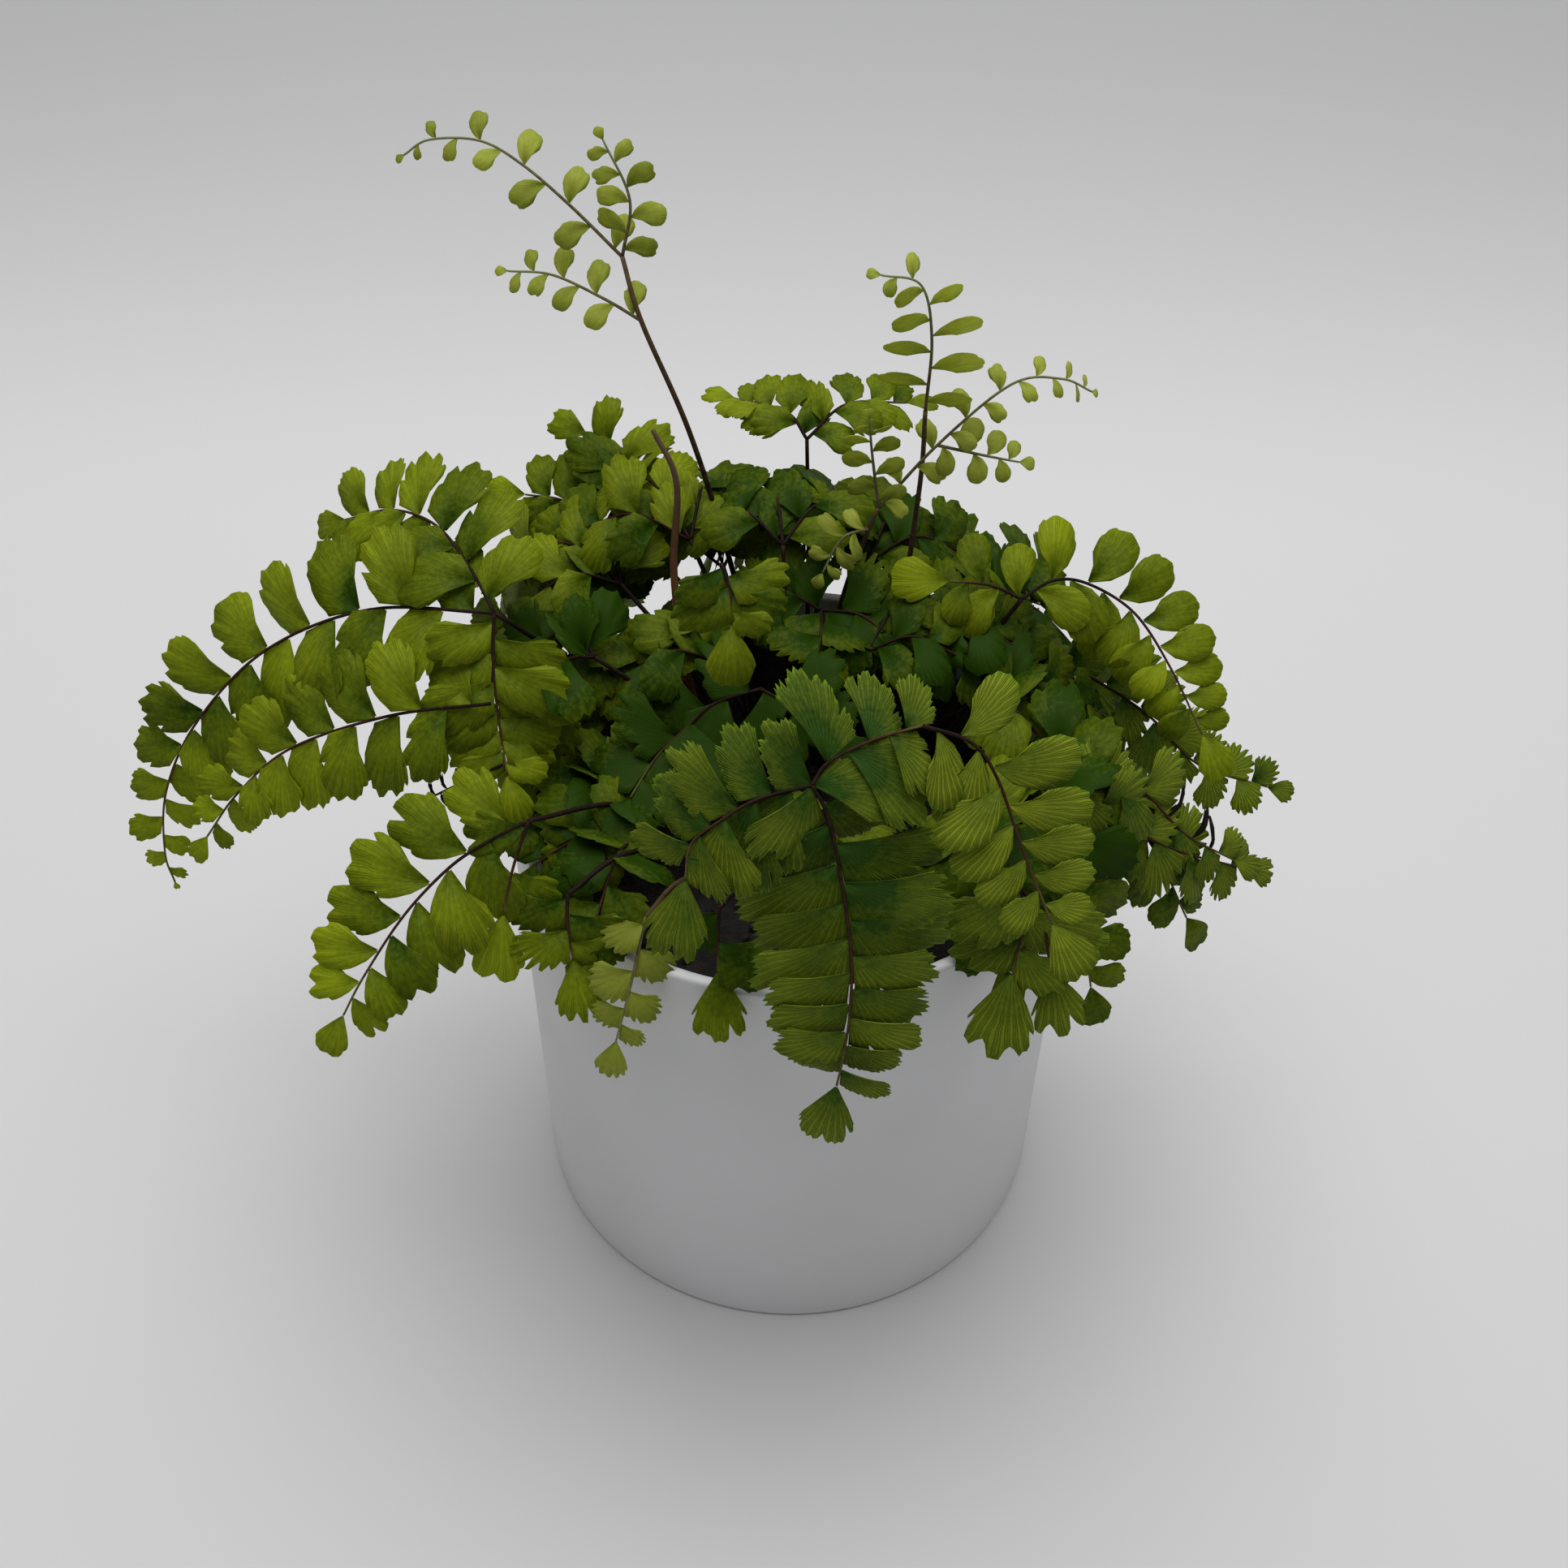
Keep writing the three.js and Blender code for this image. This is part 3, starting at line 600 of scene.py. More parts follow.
@dataclass
class Frond:
    """Builds one frond: its stems and its leaflets.

    first_size is a leaflet's size at the start of a midrib, as a share of the size it reaches at
    full_size_from. The fields that end in varies are the random spread of a leaflet's size, roll,
    turn (both in degrees) and tint. overlap is a leaflet's width over the space it has, and
    crowding opens the spaces near the start and closes them near the tip.
    """

    plan: FrondPlan
    seed: int
    stalk_radius: float = 0.62 * MM
    midrib_radius: float = 0.42 * MM
    tip_radius: float = 0.24 * MM
    petiolule: float = 0.15 * MM
    leaf_thickness: float = 0.18 * MM
    young_green: float = 0.55
    old_green: float = 0.1
    first_size: float = 0.85
    full_size_from: float = 0.25
    size_varies: tuple[float, float] = (0.93, 1.06)
    roll_varies: float = 8
    turn_varies: float = 7
    tint_varies: float = 0.7
    paler_tip: float = 0.6
    end_tint: float = 0.8
    overlap: float = 1.5
    crowding: float = 0.25
    longest_bare: float = 0.24
    tip_green: float = 0.8
    petiolule_green: float = 0.3

    def build(self, finishes: "Finishes") -> list[bpy.types.Object]:
        """Makes the frond's two pieces and dresses them.

        Args:
            finishes: the finishes of the whole plant.

        Returns:
            The stems and the leaflets.
        """
        plan = self.plan
        node = f"frond_{plan.name}"
        green = self.young_green if plan.age is Age.YOUNG else self.old_green
        stems = bmesh.new()
        stalk = Route(plan.stalk)
        count = len(stalk.points)
        add_tube(stems, stalk.points,
                 [self.stalk_radius * (1.1 - 0.3 * i / count) for i in range(count)],
                 [green * (i / count) ** 1.5 for i in range(count)])
        bed = LeafletBed(self.seed)
        for pinna in plan.pinnae:
            self.clothe(pinna, stems, bed, green)
        bmesh.ops.recalc_face_normals(stems, faces=stems.faces)
        stem_piece = add_piece(f"{node}_stems", stems, finishes.stem[plan.age], "stalk", node)
        leaf_piece = add_piece(f"{node}_leaflets", bed.bm, finishes.leaf[plan.age],
                               f"leaf_{plan.age.value}", node)
        shell = leaf_piece.modifiers.new("thickness", "SOLIDIFY")
        shell.thickness = self.leaf_thickness
        shell.offset = 0.0
        LOG.info("%s: %d leaflets", node, bed.count)
        return [stem_piece, leaf_piece]

    def leaflet_size(self, share: float, taper: float) -> float:
        """Says how large leaflets are along a midrib.

        Args:
            share: place along it, 0 to 1.
            taper: how much of the size is lost by its tip.

        Returns:
            The length as a share of the longest leaflet's.
        """
        full = self.full_size_from
        if share < full:
            return self.first_size + (1 - self.first_size) * share / full
        return 1 - taper * ((share - full) / (1 - full)) ** 1.6

    def upper_side(self, tangent: Vector) -> Vector:
        """Gives the direction square to a midrib that is nearest to the frond's facing."""
        facing = self.plan.facing
        return (facing - tangent * facing.dot(tangent)).normalized()

    def attach(self, stems: bmesh.types.BMesh, base: Vector, out: Vector, over: Vector,
               green: float) -> Vector:
        """Adds the short stalk that holds a leaflet.

        Args:
            stems: the mesh of the frond's stems.
            base: where it leaves the midrib.
            out: unit direction away from the midrib.
            over: unit direction towards the pinna's tip.
            green: how green the midrib is.

        Returns:
            The corner that the leaflet hangs on.
        """
        hold = base + out * self.petiolule * 0.8 + over * self.petiolule * 0.4
        add_tube(stems, [base, base.lerp(hold, 0.6), hold + out * 0.8 * self.petiolule],
                 [self.tip_radius, 0.8 * self.tip_radius, 0.4 * self.tip_radius],
                 [green + self.petiolule_green] * 3, sides=4)
        return hold

    def clothe(self, pinna: Pinna, stems: bmesh.types.BMesh, bed: LeafletBed,
               green: float) -> None:
        """Adds a pinna's midrib and sets its leaflets along it, left and right in turn.

        Args:
            pinna: the pinna.
            stems: the mesh of the frond's stems.
            bed: the mesh of its leaflets.
            green: how green the midrib is where it starts.
        """
        rng = bed.rng
        route = Route(pinna.route)
        form = pinna.form or self.plan.form or FORMS[self.plan.age]
        tone = self.plan.tone + pinna.tone
        shares = [m / route.length for m in route.marks]
        add_tube(stems, route.points,
                 [self.midrib_radius + (self.tip_radius - self.midrib_radius) * s for s in shares],
                 [green + (1 - green) * self.tip_green * s ** 2 for s in shares], sides=5)
        leaflet, end = pinna.leaflet * MM, pinna.end * MM
        start = form.bare * min(leaflet, self.longest_bare * route.length)
        step = (route.length - start - 0.1 * end) / pinna.pairs
        for k in range(2 * pinna.pairs):
            side = 1 if k % 2 else -1
            share = k / (2 * pinna.pairs)
            distance = start + step * pinna.pairs * share * (1 + self.crowding * (1 - share))
            if distance > route.length - 0.2 * end:
                continue
            base, tangent = route.at(distance)
            f = distance / route.length
            length = leaflet * self.leaflet_size(f, pinna.taper) * rng.uniform(*self.size_varies)
            up = self.upper_side(tangent)
            out = up.cross(tangent) * side
            roll = Matrix.Rotation(math.radians(rng.gauss(0, self.roll_varies)), 3, tangent)
            turn = math.radians(pinna.turn + rng.gauss(0, self.turn_varies))
            over, up = (tangent * math.cos(turn) + up * math.sin(turn),
                        up * math.cos(turn) - tangent * math.sin(turn))
            out, over, up = roll @ out, roll @ over, roll @ up
            hold = self.attach(stems, base, out, over, green)
            wide = min(max(self.overlap * step / length, form.least_width), form.most_width)
            # the tint carries the frond's and pinna's tone (partly painted light and shade), a random
            # spread and paler tips.
            tint = tone + rng.uniform(-1, 1) * self.tint_varies + self.paler_tip * (f - 0.4)
            if k in pinna.withered:
                bed.add(WITHERED, hold, out, over, up, length, DEAD_TINT, WITHERED.least_width)
            else:
                bed.add(form, hold, out, over, up, length, tint, wide)
        if not end:
            return
        base, tangent = route.at(route.length)
        up = self.upper_side(tangent)
        bed.add(form, base, tangent, up.cross(tangent), up, end, tone + self.end_tint, end=True)


@dataclass
class Crozier:
    """The bare young stalk that has not unfurled."""

    radius: float = 0.95 * MM
    tip_radius: float = 0.55 * MM

    def build(self, finishes: "Finishes") -> bpy.types.Object:
        """Makes the stalk with its blunt bent tip.

        Args:
            finishes: the finishes of the whole plant.

        Returns:
            The stalk.
        """
        bm = bmesh.new()
        route = Route(CROZIER_ROUTE)
        share = [m / route.length for m in route.marks]
        radii = [self.radius + (self.tip_radius - self.radius) * s ** 3 for s in share]
        end, tangent = route.at(route.length)
        points = [*route.points, end + tangent * 0.5 * self.tip_radius]
        add_tube(bm, points, [*radii, 0.5 * self.tip_radius], [*share, 1.0], sides=10)
        bmesh.ops.recalc_face_normals(bm, faces=bm.faces)
        return add_piece("stalk_unfurled_skin", bm, finishes.crozier, "stalk", "stalk_unfurled")


@dataclass
class Pot:
    """The straight white pot, in metres."""

    radius: float = 65 * MM
    height: float = 129 * MM
    wall: float = 3 * MM
    floor: float = 5 * MM
    foot_rounding: float = 1.6 * MM
    rim_rounding: float = 1.2 * MM
    inner_rounding: float = 4 * MM
    steps: int = 128

    def profile(self) -> list[tuple[float, float]]:
        """Gives half of the pot's section.

        Returns:
            Its points, from the middle of the base round to the middle of the inside.
        """
        points = [(0.0, 0.0), (self.radius - 4 * self.foot_rounding, 0.0)]

        def arc(x: float, z: float, r: float, start: float, stop: float, count: int) -> None:
            """Adds an arc about (x, z) between two angles in degrees."""
            for i in range(count + 1):
                a = math.radians(start + (stop - start) * i / count)
                points.append((x + r * math.cos(a), z + r * math.sin(a)))

        foot, rim, inner = self.foot_rounding, self.rim_rounding, self.inner_rounding
        inside = self.radius - self.wall
        arc(self.radius - foot, foot, foot, -90, 0, 6)
        for i in range(1, 12):
            points.append((self.radius, foot + (self.height - rim - foot) * i / 12))
        arc(self.radius - rim, self.height - rim, rim, 0, 90, 5)
        arc(inside + rim, self.height - rim, rim, 90, 180, 5)
        for i in range(1, 8):
            points.append((inside, self.height - rim - (self.height - self.floor - 5 * MM) * i / 8))
        arc(inside - inner, self.floor + inner, inner, 0, -90, 4)
        points.append((0.0, self.floor))
        return points

    def build(self, finishes: "Finishes") -> bpy.types.Object:
        """Spins the section into the pot.

        Args:
            finishes: the finishes of the whole plant.

        Returns:
            The pot.
        """
        bm = spun(self.profile(), self.steps)
        bmesh.ops.recalc_face_normals(bm, faces=bm.faces)
        return add_piece("pot_shell", bm, finishes.pot, "pot", "pot")


@dataclass
class Soil:
    """The potting mix: an uneven surface with loose crumbs on it."""

    radius: float = 61.7 * MM
    top: float = 117.6 * MM
    depth: float = 30 * MM
    rings: int = 30
    steps: int = 90
    crumbs: int = 420
    crumb_sizes: tuple[float, float] = (0.35 * MM, 1.5 * MM)
    seed: int = 5

    def height(self, x: float, y: float) -> float:
        """Gives the surface's height at a place.

        Args:
            x: metres to the right of the axis.
            y: metres behind it.

        Returns:
            The height in metres.
        """
        r = math.hypot(x, y) / self.radius
        rough = noise.fractal(Vector((x, y, 0.0)) * 120, 1.0, 2.0, 4)
        return self.top - 1.5 * MM * r ** 3 + 0.9 * MM * rough

    def build(self, finishes: "Finishes") -> list[bpy.types.Object]:
        """Makes the body of the soil and its crumbs.

        Args:
            finishes: the finishes of the whole plant.

        Returns:
            The body and the crumbs.
        """
        return [self.body(finishes), self.loose(finishes)]

    def body(self, finishes: "Finishes") -> bpy.types.Object:
        """Makes the body of the soil.

        Args:
            finishes: the finishes of the whole plant.

        Returns:
            The body.
        """
        bm = spun([(self.radius * i / self.rings, 0.0) for i in range(self.rings + 1)], self.steps)
        for vert in bm.verts:
            vert.co.z = self.height(vert.co.x, vert.co.y)
        rim = [e for e in bm.edges if e.is_boundary]
        for drop in (0.4 * self.depth, self.depth):
            grown = bmesh.ops.extrude_edge_only(bm, edges=rim)["geom"]
            rim = [g for g in grown if isinstance(g, bmesh.types.BMEdge)]
            for vert in (g for g in grown if isinstance(g, bmesh.types.BMVert)):
                vert.co.z = self.top - drop
        bmesh.ops.contextual_create(bm, geom=rim)
        bmesh.ops.recalc_face_normals(bm, faces=bm.faces)
        return add_piece("soil_body", bm, finishes.soil, "soil", "soil")

    def loose(self, finishes: "Finishes") -> bpy.types.Object:
        """Makes the crumbs that lie on the soil.

        Args:
            finishes: the finishes of the whole plant.

        Returns:
            The crumbs, as one piece.
        """
        rng = random.Random(self.seed)
        loose = bmesh.new()
        for _ in range(self.crumbs):
            angle, far = rng.uniform(0, math.tau), self.radius * 0.97 * math.sqrt(rng.random())
            x, y = far * math.cos(angle), far * math.sin(angle)
            size = rng.uniform(*self.crumb_sizes)
            turn = Matrix.Rotation(rng.uniform(0, math.tau), 4, Vector((rng.random(), 1, 0.3)))
            place = Matrix.Translation((x, y, self.height(x, y) + 0.2 * size))
            shape = Matrix.Diagonal((size * rng.uniform(0.7, 1.5), size, 0.6 * size, 1.0))
            lump = bmesh.ops.create_icosphere(loose, subdivisions=1, radius=1.0,
                                              matrix=place @ turn @ shape)["verts"]
            for vert in lump:
                vert.co += Vector((rng.gauss(0, 1), rng.gauss(0, 1), rng.gauss(0, 1))) * 0.12 * size
        return add_piece("soil_crumbs", loose, finishes.crumbs, "soil", "soil")


# ---- finishes -----------------------------------------------------------------------------------
class NodeSheet:
    """A short way to write a material's nodes."""

    def __init__(self, name: str) -> None:
        """Starts an empty material with an output."""
        self.material = bpy.data.materials.new(name)
        self.material.use_nodes = True
        self.tree = self.material.node_tree
        self.tree.nodes.clear()
        self.output = self.node("ShaderNodeOutputMaterial")

    def node(self, kind: str, inputs: dict | None = None, **settings: object) -> bpy.types.Node:
        """Adds a node.

        Args:
            kind: its type.
            inputs: socket name or number to a value or to the socket that feeds it.
            settings: its properties.

        Returns:
            The node.
        """
        made = self.tree.nodes.new(kind)
        for key, value in settings.items():
            setattr(made, key, value)
        for key, value in (inputs or {}).items():
            if isinstance(value, bpy.types.NodeSocket):
                self.tree.links.new(value, made.inputs[key])
            else:
                made.inputs[key].default_value = value
        return made

    def maths(self, operation: str, *values: object) -> bpy.types.NodeSocket:
        """Adds a Math node and gives its result."""
        return self.node("ShaderNodeMath", dict(enumerate(values)),
                         operation=operation).outputs[0]

    def blend(self, share: object, a: object, b: object) -> bpy.types.NodeSocket:
        """Mixes two colours.

        Args:
            share: how much of the second there is, 0 to 1.
            a: the first colour.
            b: the second colour.

        Returns:
            The mixed colour.
        """
        pad = [(*c, 1.0) if isinstance(c, tuple) and len(c) == 3 else c for c in (a, b)]
        return self.node("ShaderNodeMix", {0: share, 6: pad[0], 7: pad[1]},
                         data_type="RGBA").outputs[2]

    def remap(self, value: object, low: float, high: float, to_low: float = 0.0,
              to_high: float = 1.0) -> bpy.types.NodeSocket:
        """Maps a range smoothly onto another.

        Args:
            value: what is mapped.
            low: where its range starts.
            high: where its range ends.
            to_low: what low becomes.
            to_high: what high becomes.

        Returns:
            The mapped value.
        """
        return self.node("ShaderNodeMapRange", {0: value, 1: low, 2: high, 3: to_low, 4: to_high},
                         interpolation_type="SMOOTHSTEP").outputs[0]

    def noise(self, scale: float, detail: float) -> bpy.types.NodeSocket:
        """Adds noise on the piece's own coordinates.

        Args:
            scale: its fineness, per metre.
            detail: how many finer layers it has.

        Returns:
            Its value, centred on 0.5.
        """
        place = self.node("ShaderNodeTexCoord").outputs["Object"]
        return self.node("ShaderNodeTexNoise", {"Vector": place, "Scale": scale,
                                                "Detail": detail}).outputs[0]

    def bump(self, height: object, strength: float, depth: float) -> bpy.types.NodeSocket:
        """Adds a bump and gives its normal."""
        return self.node("ShaderNodeBump", {"Strength": strength, "Distance": depth,
                                            "Height": height}).outputs[0]

    def finished(self, shader: bpy.types.Node) -> bpy.types.Material:
        """Joins a shader to the output and gives the material."""
        self.tree.links.new(shader.outputs[0], self.output.inputs[0])
        return self.material


@dataclass(frozen=True)
class LeafFinish:
    """Thin veined leaf tissue that lets light through.

    dark and light are the ends of the tissue's range, glow is the light one's colour with light
    behind it, and dead is the colour of withered leaflets. fade is painted shade that darkens the
    tissue towards the stalk, rim is a painted highlight that brightens the margin, through is the
    share of light that comes through, and FINE, MOTTLE and WANDER are the fineness of the grain,
    of the patches and of the veins' waver.
    """

    name: str
    dark: Colour
    light: Colour
    vein: Colour
    glow: Colour
    dead: Colour = (0.020, 0.012, 0.006)
    fade: float = 0.25
    rim: float = 0.0
    veins: float = 11.0
    vein_strength: float = 0.5
    relief: float = 0.25
    through: float = 0.4
    roughness: float = 0.5
    gloss: float = 0.3

    FINE, MOTTLE, WANDER = 900.0, 45.0, 260.0
    FORK_FROM, FORK_FULL = 0.35, 0.55
    RIM_FROM, RIM_FULL = 0.91, 0.99
    COARSE_VEIN, FORKED_VEIN = 0.20, 0.30
    TINT_SHARE = 0.32
    GRAIN = 0.08

    def build(self) -> bpy.types.Material:
        """Makes the material.

        Returns:
            The finished material.
        """
        sheet = NodeSheet(self.name)
        uv = sheet.node("ShaderNodeUVMap", uv_map=LEAF_UV).outputs[0]
        parts = sheet.node("ShaderNodeSeparateXYZ", {0: uv}).outputs
        tint = sheet.node("ShaderNodeAttribute", attribute_name=TINT).outputs["Fac"]
        fine, broad = sheet.noise(self.FINE, 4.0), sheet.noise(self.MOTTLE, 2.0)
        drift = sheet.maths("SUBTRACT", sheet.noise(self.WANDER, 2.0), 0.5)
        wander = sheet.maths("MULTIPLY", drift, 0.05)
        across = sheet.maths("ADD", parts[1], wander)
        coarse = self.vein_lines(sheet, across, self.veins, self.COARSE_VEIN)
        forked = self.vein_lines(sheet, across, 2 * self.veins, self.FORKED_VEIN)
        outer = sheet.remap(parts[0], self.FORK_FROM, self.FORK_FULL)
        lines = sheet.maths("MAXIMUM", coarse, sheet.maths("MULTIPLY", forked, outer))
        # shade: random mottle plus the leaflet's tint, which carries painted light and shade from the
        # frond's tone.
        shade = sheet.maths("ADD", sheet.remap(broad, 0.3, 0.7, 0.25, 0.65),
                            sheet.maths("MULTIPLY", tint, self.TINT_SHARE))
        # painted shade: fade darkens each leaflet towards its stalk, and the margin side is a little
        # lighter.
        shade = sheet.maths("ADD", shade, sheet.remap(parts[0], 0.0, 0.8, -self.fade, 0.06))
        grain = sheet.remap(fine, 0.35, 0.65, -self.GRAIN, self.GRAIN)
        shade = sheet.maths("ADD", shade, grain)
        shade = sheet.maths("MINIMUM", sheet.maths("MAXIMUM", shade, 0.0), 1.0)
        tissue = sheet.blend(shade, self.dark, self.light)
        lit_veins = sheet.maths("MULTIPLY", sheet.remap(shade, -0.1, 0.4, 0.25, 1.0),
                                self.vein_strength)
        colour = sheet.blend(sheet.maths("MULTIPLY", lines, lit_veins), tissue, self.vein)
        # painted highlight: the margin is lightened towards the vein colour.
        rim = sheet.remap(parts[0], self.RIM_FROM, self.RIM_FULL, 0.0, self.rim)
        colour = sheet.blend(rim, colour, self.vein)
        dead = sheet.remap(tint, DEAD_TINT + 0.5, DEAD_TINT + 1.2, 1.0, 0.0)
        colour = sheet.blend(dead, colour, self.dead)
        height = sheet.maths("ADD", sheet.maths("MULTIPLY", lines, 0.7),
                             sheet.maths("MULTIPLY", fine, 0.3))
        normal = sheet.bump(height, self.relief, 0.4 * MM)
        skin = sheet.node("ShaderNodeBsdfPrincipled", {
            "Base Color": colour, "Roughness": self.roughness, "Specular IOR Level": self.gloss,
            "Normal": normal})
        # the light coming through is darkened with shade, painted shade included.
        glow = sheet.blend(shade, self.dark, self.glow)
        lit = sheet.blend(sheet.maths("MAXIMUM", sheet.maths("MULTIPLY", lines, 0.35), dead),
                          glow, colour)
        back = sheet.node("ShaderNodeBsdfTranslucent", {"Color": lit, "Normal": normal})
        return sheet.finished(sheet.node("ShaderNodeMixShader", {
            0: self.through, 1: skin.outputs[0], 2: back.outputs[0]}))

    @staticmethod
    def vein_lines(sheet: NodeSheet, across: object, count: float,
                   width: float) -> bpy.types.NodeSocket:
        """Draws fanned veins.

        Args:
            sheet: the material's nodes.
            across: 0 to 1 across the leaflet's fan.
            count: number of veins.
            width: share of the space between veins that one takes.

        Returns:
            1 on a vein, 0 between veins.
        """
        place = sheet.maths("FRACT", sheet.maths("MULTIPLY", across, count))
        off = sheet.maths("ABSOLUTE", sheet.maths("SUBTRACT", place, 0.5))
        return sheet.remap(off, 0.0, 0.5 * width, 1.0, 0.0)


@dataclass(frozen=True)
class StemFinish:
    """Wiry stem, dark where it is old and green towards the tip."""

    name: str
    old: Colour
    middle: Colour
    green: Colour
    roughness: float = 0.6
    gloss: float = 0.08

    def build(self) -> bpy.types.Material:
        """Makes the material.

        Returns:
            The finished material.
        """
        sheet = NodeSheet(self.name)
        age = sheet.node("ShaderNodeAttribute", attribute_name=AGEING).outputs["Fac"]
        mottle = sheet.noise(700.0, 3.0)
        age = sheet.maths("ADD", age, sheet.remap(mottle, 0.3, 0.7, -0.08, 0.08))
        lower = sheet.blend(sheet.remap(age, 0.0, 0.45), self.old, self.middle)
        colour = sheet.blend(sheet.remap(age, 0.4, 0.9), lower, self.green)
        return sheet.finished(sheet.node("ShaderNodeBsdfPrincipled", {
            "Base Color": colour, "Roughness": self.roughness, "Specular IOR Level": self.gloss,
            "Normal": sheet.bump(mottle, 0.3, 0.2 * MM)}))


@dataclass(frozen=True)
class GlazeFinish:
    """Smooth matt white glaze with a faint orange-peel."""

    name: str = "matt_white_glaze"
    colour: Colour = (0.72, 0.72, 0.73)
    shade: Colour = (0.68, 0.68, 0.685)
    roughness: tuple[float, float] = (0.52, 0.6)
    gloss: float = 0.75

    def build(self) -> bpy.types.Material:
        """Makes the material.

        Returns:
            The finished material.
        """
        sheet = NodeSheet(self.name)
        cloud, grain = sheet.noise(18.0, 2.0), sheet.noise(1600.0, 2.0)
        colour = sheet.blend(sheet.remap(cloud, 0.3, 0.7), self.colour, self.shade)
        roughness = sheet.remap(cloud, 0.2, 0.8, *self.roughness)
        return sheet.finished(sheet.node("ShaderNodeBsdfPrincipled", {
            "Base Color": colour, "Roughness": roughness, "Specular IOR Level": self.gloss,
            "Normal": sheet.bump(grain, 0.06, 0.3 * MM)}))


@dataclass(frozen=True)
class SoilFinish:
    """Dark moist potting mix."""

    name: str
    dark: Colour = (0.003, 0.002, 0.0015)
    light: Colour = (0.016, 0.011, 0.007)
    roughness: float = 0.92

    def build(self) -> bpy.types.Material:
        """Makes the material.

        Returns:
            The finished material.
        """
        sheet = NodeSheet(self.name)
        lumps, grain = sheet.noise(320.0, 5.0), sheet.noise(1500.0, 4.0)
        colour = sheet.blend(sheet.remap(lumps, 0.35, 0.7), self.dark, self.light)
        height = sheet.maths("ADD", lumps, grain)
        return sheet.finished(sheet.node("ShaderNodeBsdfPrincipled", {
            "Base Color": colour, "Roughness": self.roughness,
            "Normal": sheet.bump(height, 0.8, 1.2 * MM)}))


class Finishes:
    """Every finish of the plant, made once."""

    def __init__(self) -> None:
        """Builds the materials."""
        self.leaf = {
            # leaf_mature has stronger painted shade towards each leaflet's stalk (fade) and a painted
            # highlight on its margin (rim).
            Age.MATURE: LeafFinish("leaf_mature", dark=(0.030, 0.085, 0.005),
                                   light=(0.270, 0.330, 0.018), vein=(0.21, 0.33, 0.02),
                                   glow=(0.34, 0.48, 0.008), fade=0.55, rim=0.7, veins=13,
                                   relief=1.0, vein_strength=0.9, through=0.30, roughness=0.6,
                                   gloss=0.12).build(),
            Age.MID: LeafFinish("leaf_mid", dark=(0.030, 0.078, 0.002),
                                light=(0.370, 0.440, 0.014), vein=(0.06, 0.085, 0.005),
                                glow=(0.60, 0.72, 0.016), vein_strength=0.5,
                                through=0.42, gloss=0.09).build(),
            Age.YOUNG: LeafFinish("leaf_young", dark=(0.30, 0.35, 0.035),
                                  light=(0.52, 0.57, 0.095), vein=(0.24, 0.27, 0.03),
                                  glow=(0.75, 0.82, 0.09), veins=7, vein_strength=0.25,
                                  through=0.45, gloss=0.15).build(),
        }
        dark = {"old": (0.012, 0.007, 0.006), "middle": (0.055, 0.022, 0.012)}
        self.stem = {
            Age.MATURE: StemFinish("stem_mature", green=(0.10, 0.09, 0.03), **dark).build(),
            Age.MID: StemFinish("stem_mid", green=(0.12, 0.12, 0.03), **dark).build(),
            Age.YOUNG: StemFinish("stem_young", old=(0.015, 0.009, 0.006),
                                  middle=(0.09, 0.055, 0.025), green=(0.22, 0.25, 0.10)).build(),
        }
        self.crozier = StemFinish("stalk_unfurled", old=(0.11, 0.035, 0.018),
                                  middle=(0.20, 0.085, 0.03), green=(0.10, 0.06, 0.04),
                                  roughness=0.5).build()
        self.pot = GlazeFinish().build()
        self.soil = SoilFinish("potting_mix").build()
        self.crumbs = SoilFinish("potting_crumbs", light=(0.026, 0.017, 0.011)).build()


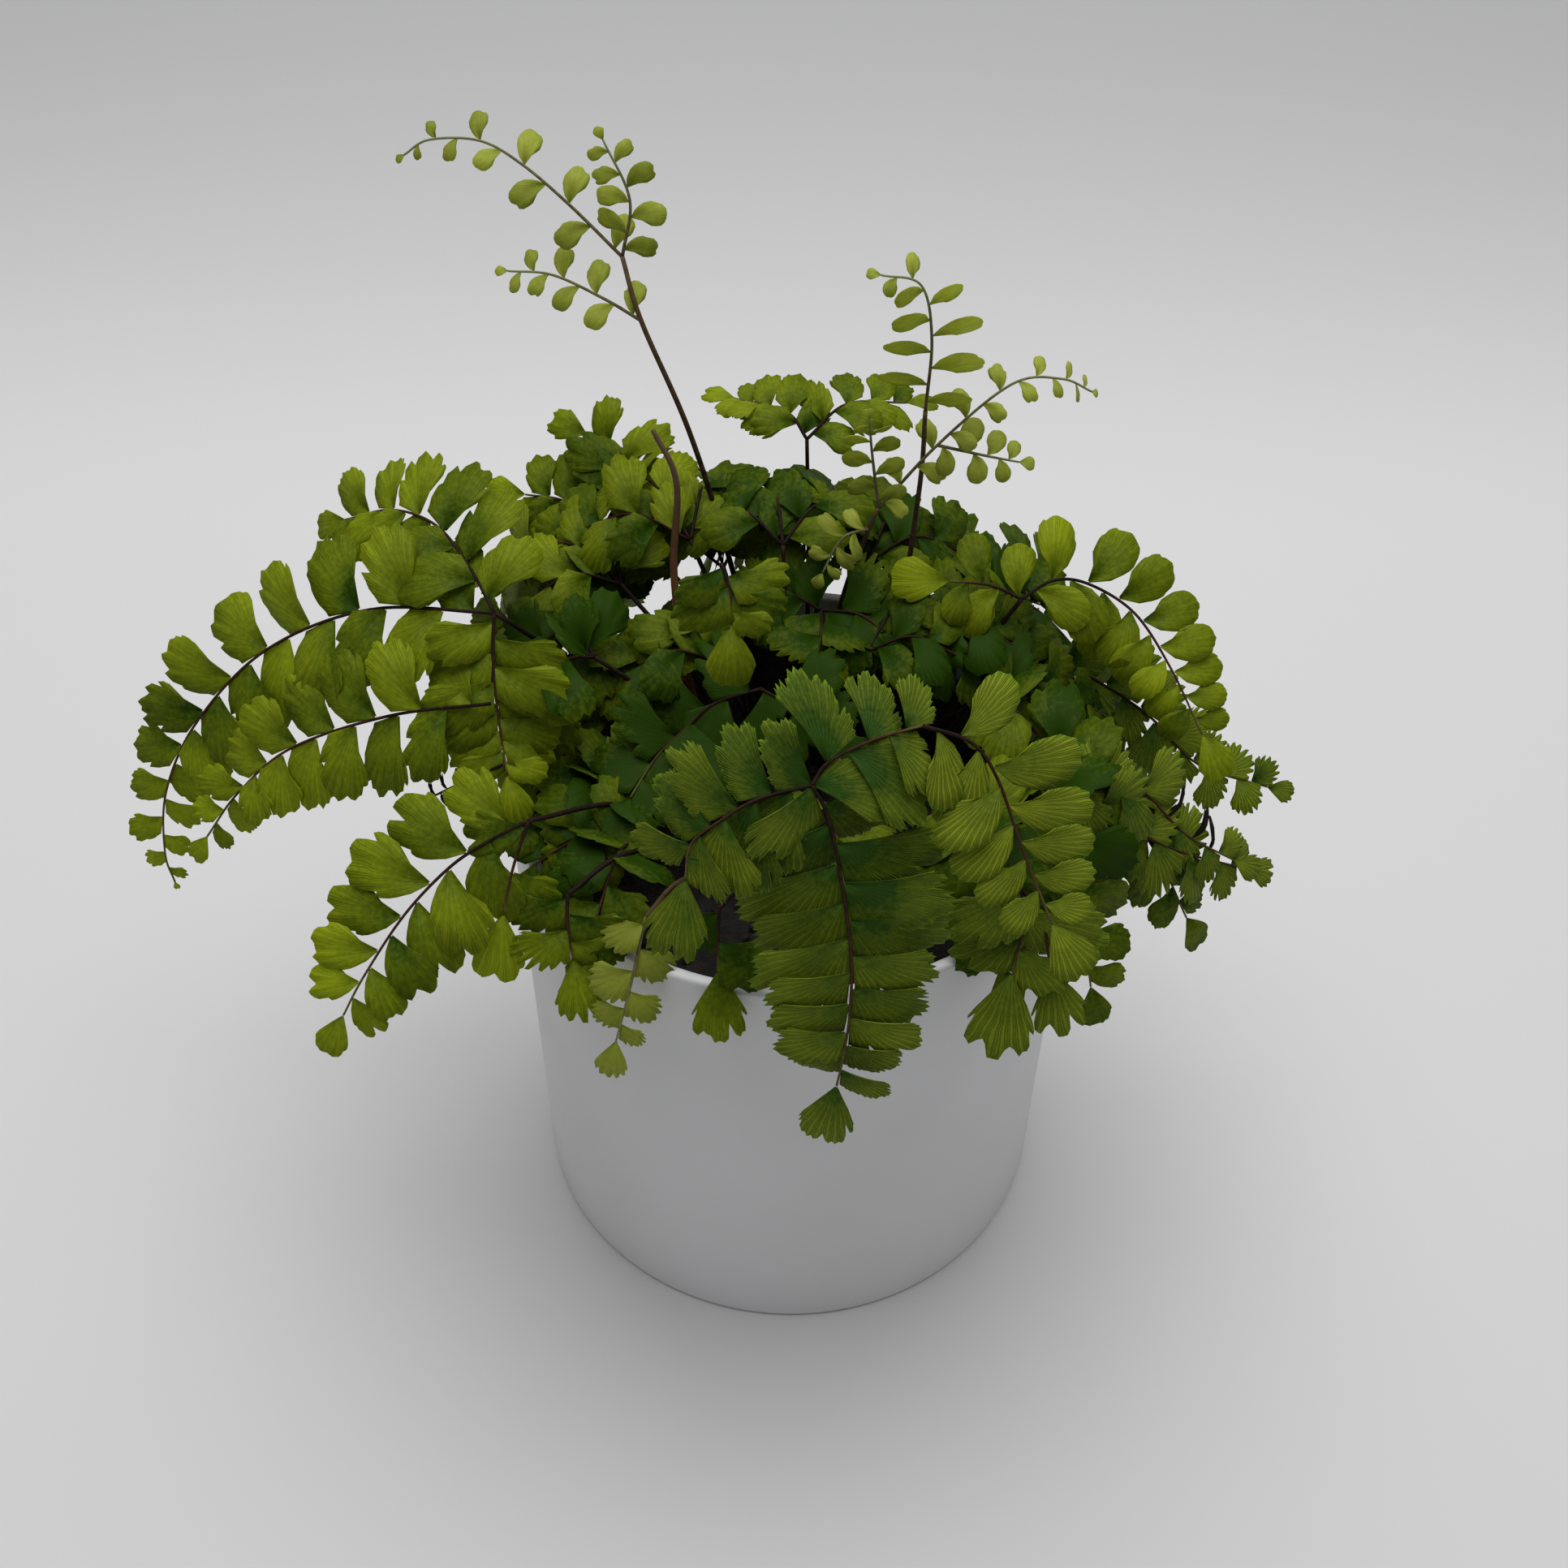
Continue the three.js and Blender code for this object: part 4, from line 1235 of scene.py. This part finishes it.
# ---- the studio ---------------------------------------------------------------------------------
@dataclass
class Studio:
    """Pale floor and backdrop, soft light and the camera.

    The camera looks down by pitch at the point of the pot's axis that is aim high; pitch, yaw and
    roll are in degrees and lens is in millimetres. The backdrop stands back behind the axis, bends
    up with the radius bend, and its paper is painted darker over painted_shade_range, both in
    metres behind it: painted shade where the rising backdrop gets less light.
    """

    pitch: float = 45.18
    yaw: float = 0.357
    roll: float = 1.151
    distance: float = 427.8 * MM
    aim: float = 124.8 * MM
    lens: float = 42.86
    floor_length: float = 3.0
    floor_width: float = 4.4
    back: float = 0.75
    bend: float = 0.45
    paper: Colour = (0.66, 0.655, 0.66)
    painted_shade_paper: Colour = (0.42, 0.42, 0.425)
    painted_shade_range: tuple[float, float] = (0.25, 0.62)
    panel_place: Point = (0.0, 0.30, 1.40)
    panel_target: Point = (0, 0.12, 0.1)
    panel_size: float = 1.5
    panel_power: float = 21.0
    air: Colour = (0.98, 0.99, 1.0)
    air_strength: float = 0.25

    def build(self) -> None:
        """Sets the stage, the lights and the camera."""
        self.backdrop()
        self.light()
        world = bpy.data.worlds.new("studio")
        world.use_nodes = True
        background = world.node_tree.nodes["Background"]
        background.inputs[0].default_value = (*self.air, 1.0)
        background.inputs[1].default_value = self.air_strength
        scene = bpy.context.scene
        scene.world = world
        scene.view_settings.view_transform = "Standard"
        self.camera()

    def backdrop(self) -> None:
        """Makes the floor, which curves up into the backdrop behind the plant."""
        bm = bmesh.new()
        bend, back = self.bend, self.back
        line = [(-self.floor_length, 0.0), (back - bend, 0.0)]
        line += [(back - bend + bend * math.sin(a), bend - bend * math.cos(a))
                 for a in (math.radians(90) * i / 12 for i in range(1, 13))]
        verts = [bm.verts.new((-self.floor_width / 2, y, z)) for y, z in line]
        edges = [bm.edges.new(pair) for pair in zip(verts, verts[1:])]
        grown = bmesh.ops.extrude_edge_only(bm, edges=edges)["geom"]
        bmesh.ops.translate(bm, vec=(self.floor_width, 0, 0),
                            verts=[g for g in grown if isinstance(g, bmesh.types.BMVert)])
        bmesh.ops.recalc_face_normals(bm, faces=bm.faces)
        mesh = bpy.data.meshes.new("studio_floor")
        bm.to_mesh(mesh)
        bm.free()
        mesh.shade_smooth()
        floor = bpy.data.objects.new("studio_floor", mesh)
        bpy.context.scene.collection.objects.link(floor)
        sheet = NodeSheet("paper")
        place = sheet.node("ShaderNodeTexCoord").outputs["Object"]
        depth = sheet.node("ShaderNodeSeparateXYZ", {0: place}).outputs[1]
        # painted shade: the paper darkens towards the back, where the rising backdrop gets less
        # light.
        colour = sheet.blend(sheet.remap(depth, *self.painted_shade_range), self.paper, self.painted_shade_paper)
        mesh.materials.append(sheet.finished(sheet.node("ShaderNodeBsdfPrincipled", {
            "Base Color": colour, "Roughness": 0.8})))

    def light(self) -> None:
        """Adds the soft square light above the plant, which looks at its target."""
        lamp = bpy.data.lights.new("sky_panel", "AREA")
        lamp.size, lamp.energy = self.panel_size, self.panel_power
        holder = bpy.data.objects.new("sky_panel", lamp)
        holder.location = self.panel_place
        aim = Vector(self.panel_target) - Vector(self.panel_place)
        holder.rotation_euler = aim.to_track_quat("-Z", "Y").to_euler()
        bpy.context.scene.collection.objects.link(holder)

    def camera(self) -> None:
        """Sets the camera above the front of the plant."""
        pitch = math.radians(self.pitch)
        lens = bpy.data.cameras.new("camera")
        lens.lens, lens.sensor_width = self.lens, 36.0
        holder = bpy.data.objects.new("camera", lens)
        place = Vector((0, -math.cos(pitch), math.sin(pitch))) * self.distance
        place.z += self.aim
        turn = (Matrix.Rotation(math.radians(90) - pitch, 4, "X")
                @ Matrix.Rotation(math.radians(self.yaw), 4, "Y")
                @ Matrix.Rotation(math.radians(self.roll), 4, "Z"))
        holder.matrix_world = Matrix.Translation(place) @ turn
        bpy.context.scene.collection.objects.link(holder)
        bpy.context.scene.camera = holder


def main() -> None:
    """Builds the plant and its studio."""
    logging.basicConfig(level=logging.INFO, format="%(name)s: %(message)s")
    finishes = Finishes()
    Studio().build()
    LOG.info("pot: %s", Pot().build(finishes).name)
    LOG.info("soil: %d pieces", len(Soil().build(finishes)))
    LOG.info("stalk: %s", Crozier().build(finishes).name)
    plans = [*SHAPED, *(plan.shaped() for plan in ARCHED)]
    for i, plan in enumerate(plans):
        Frond(plan, seed=100 + i).build(finishes)


if __name__ == "__main__":
    main()
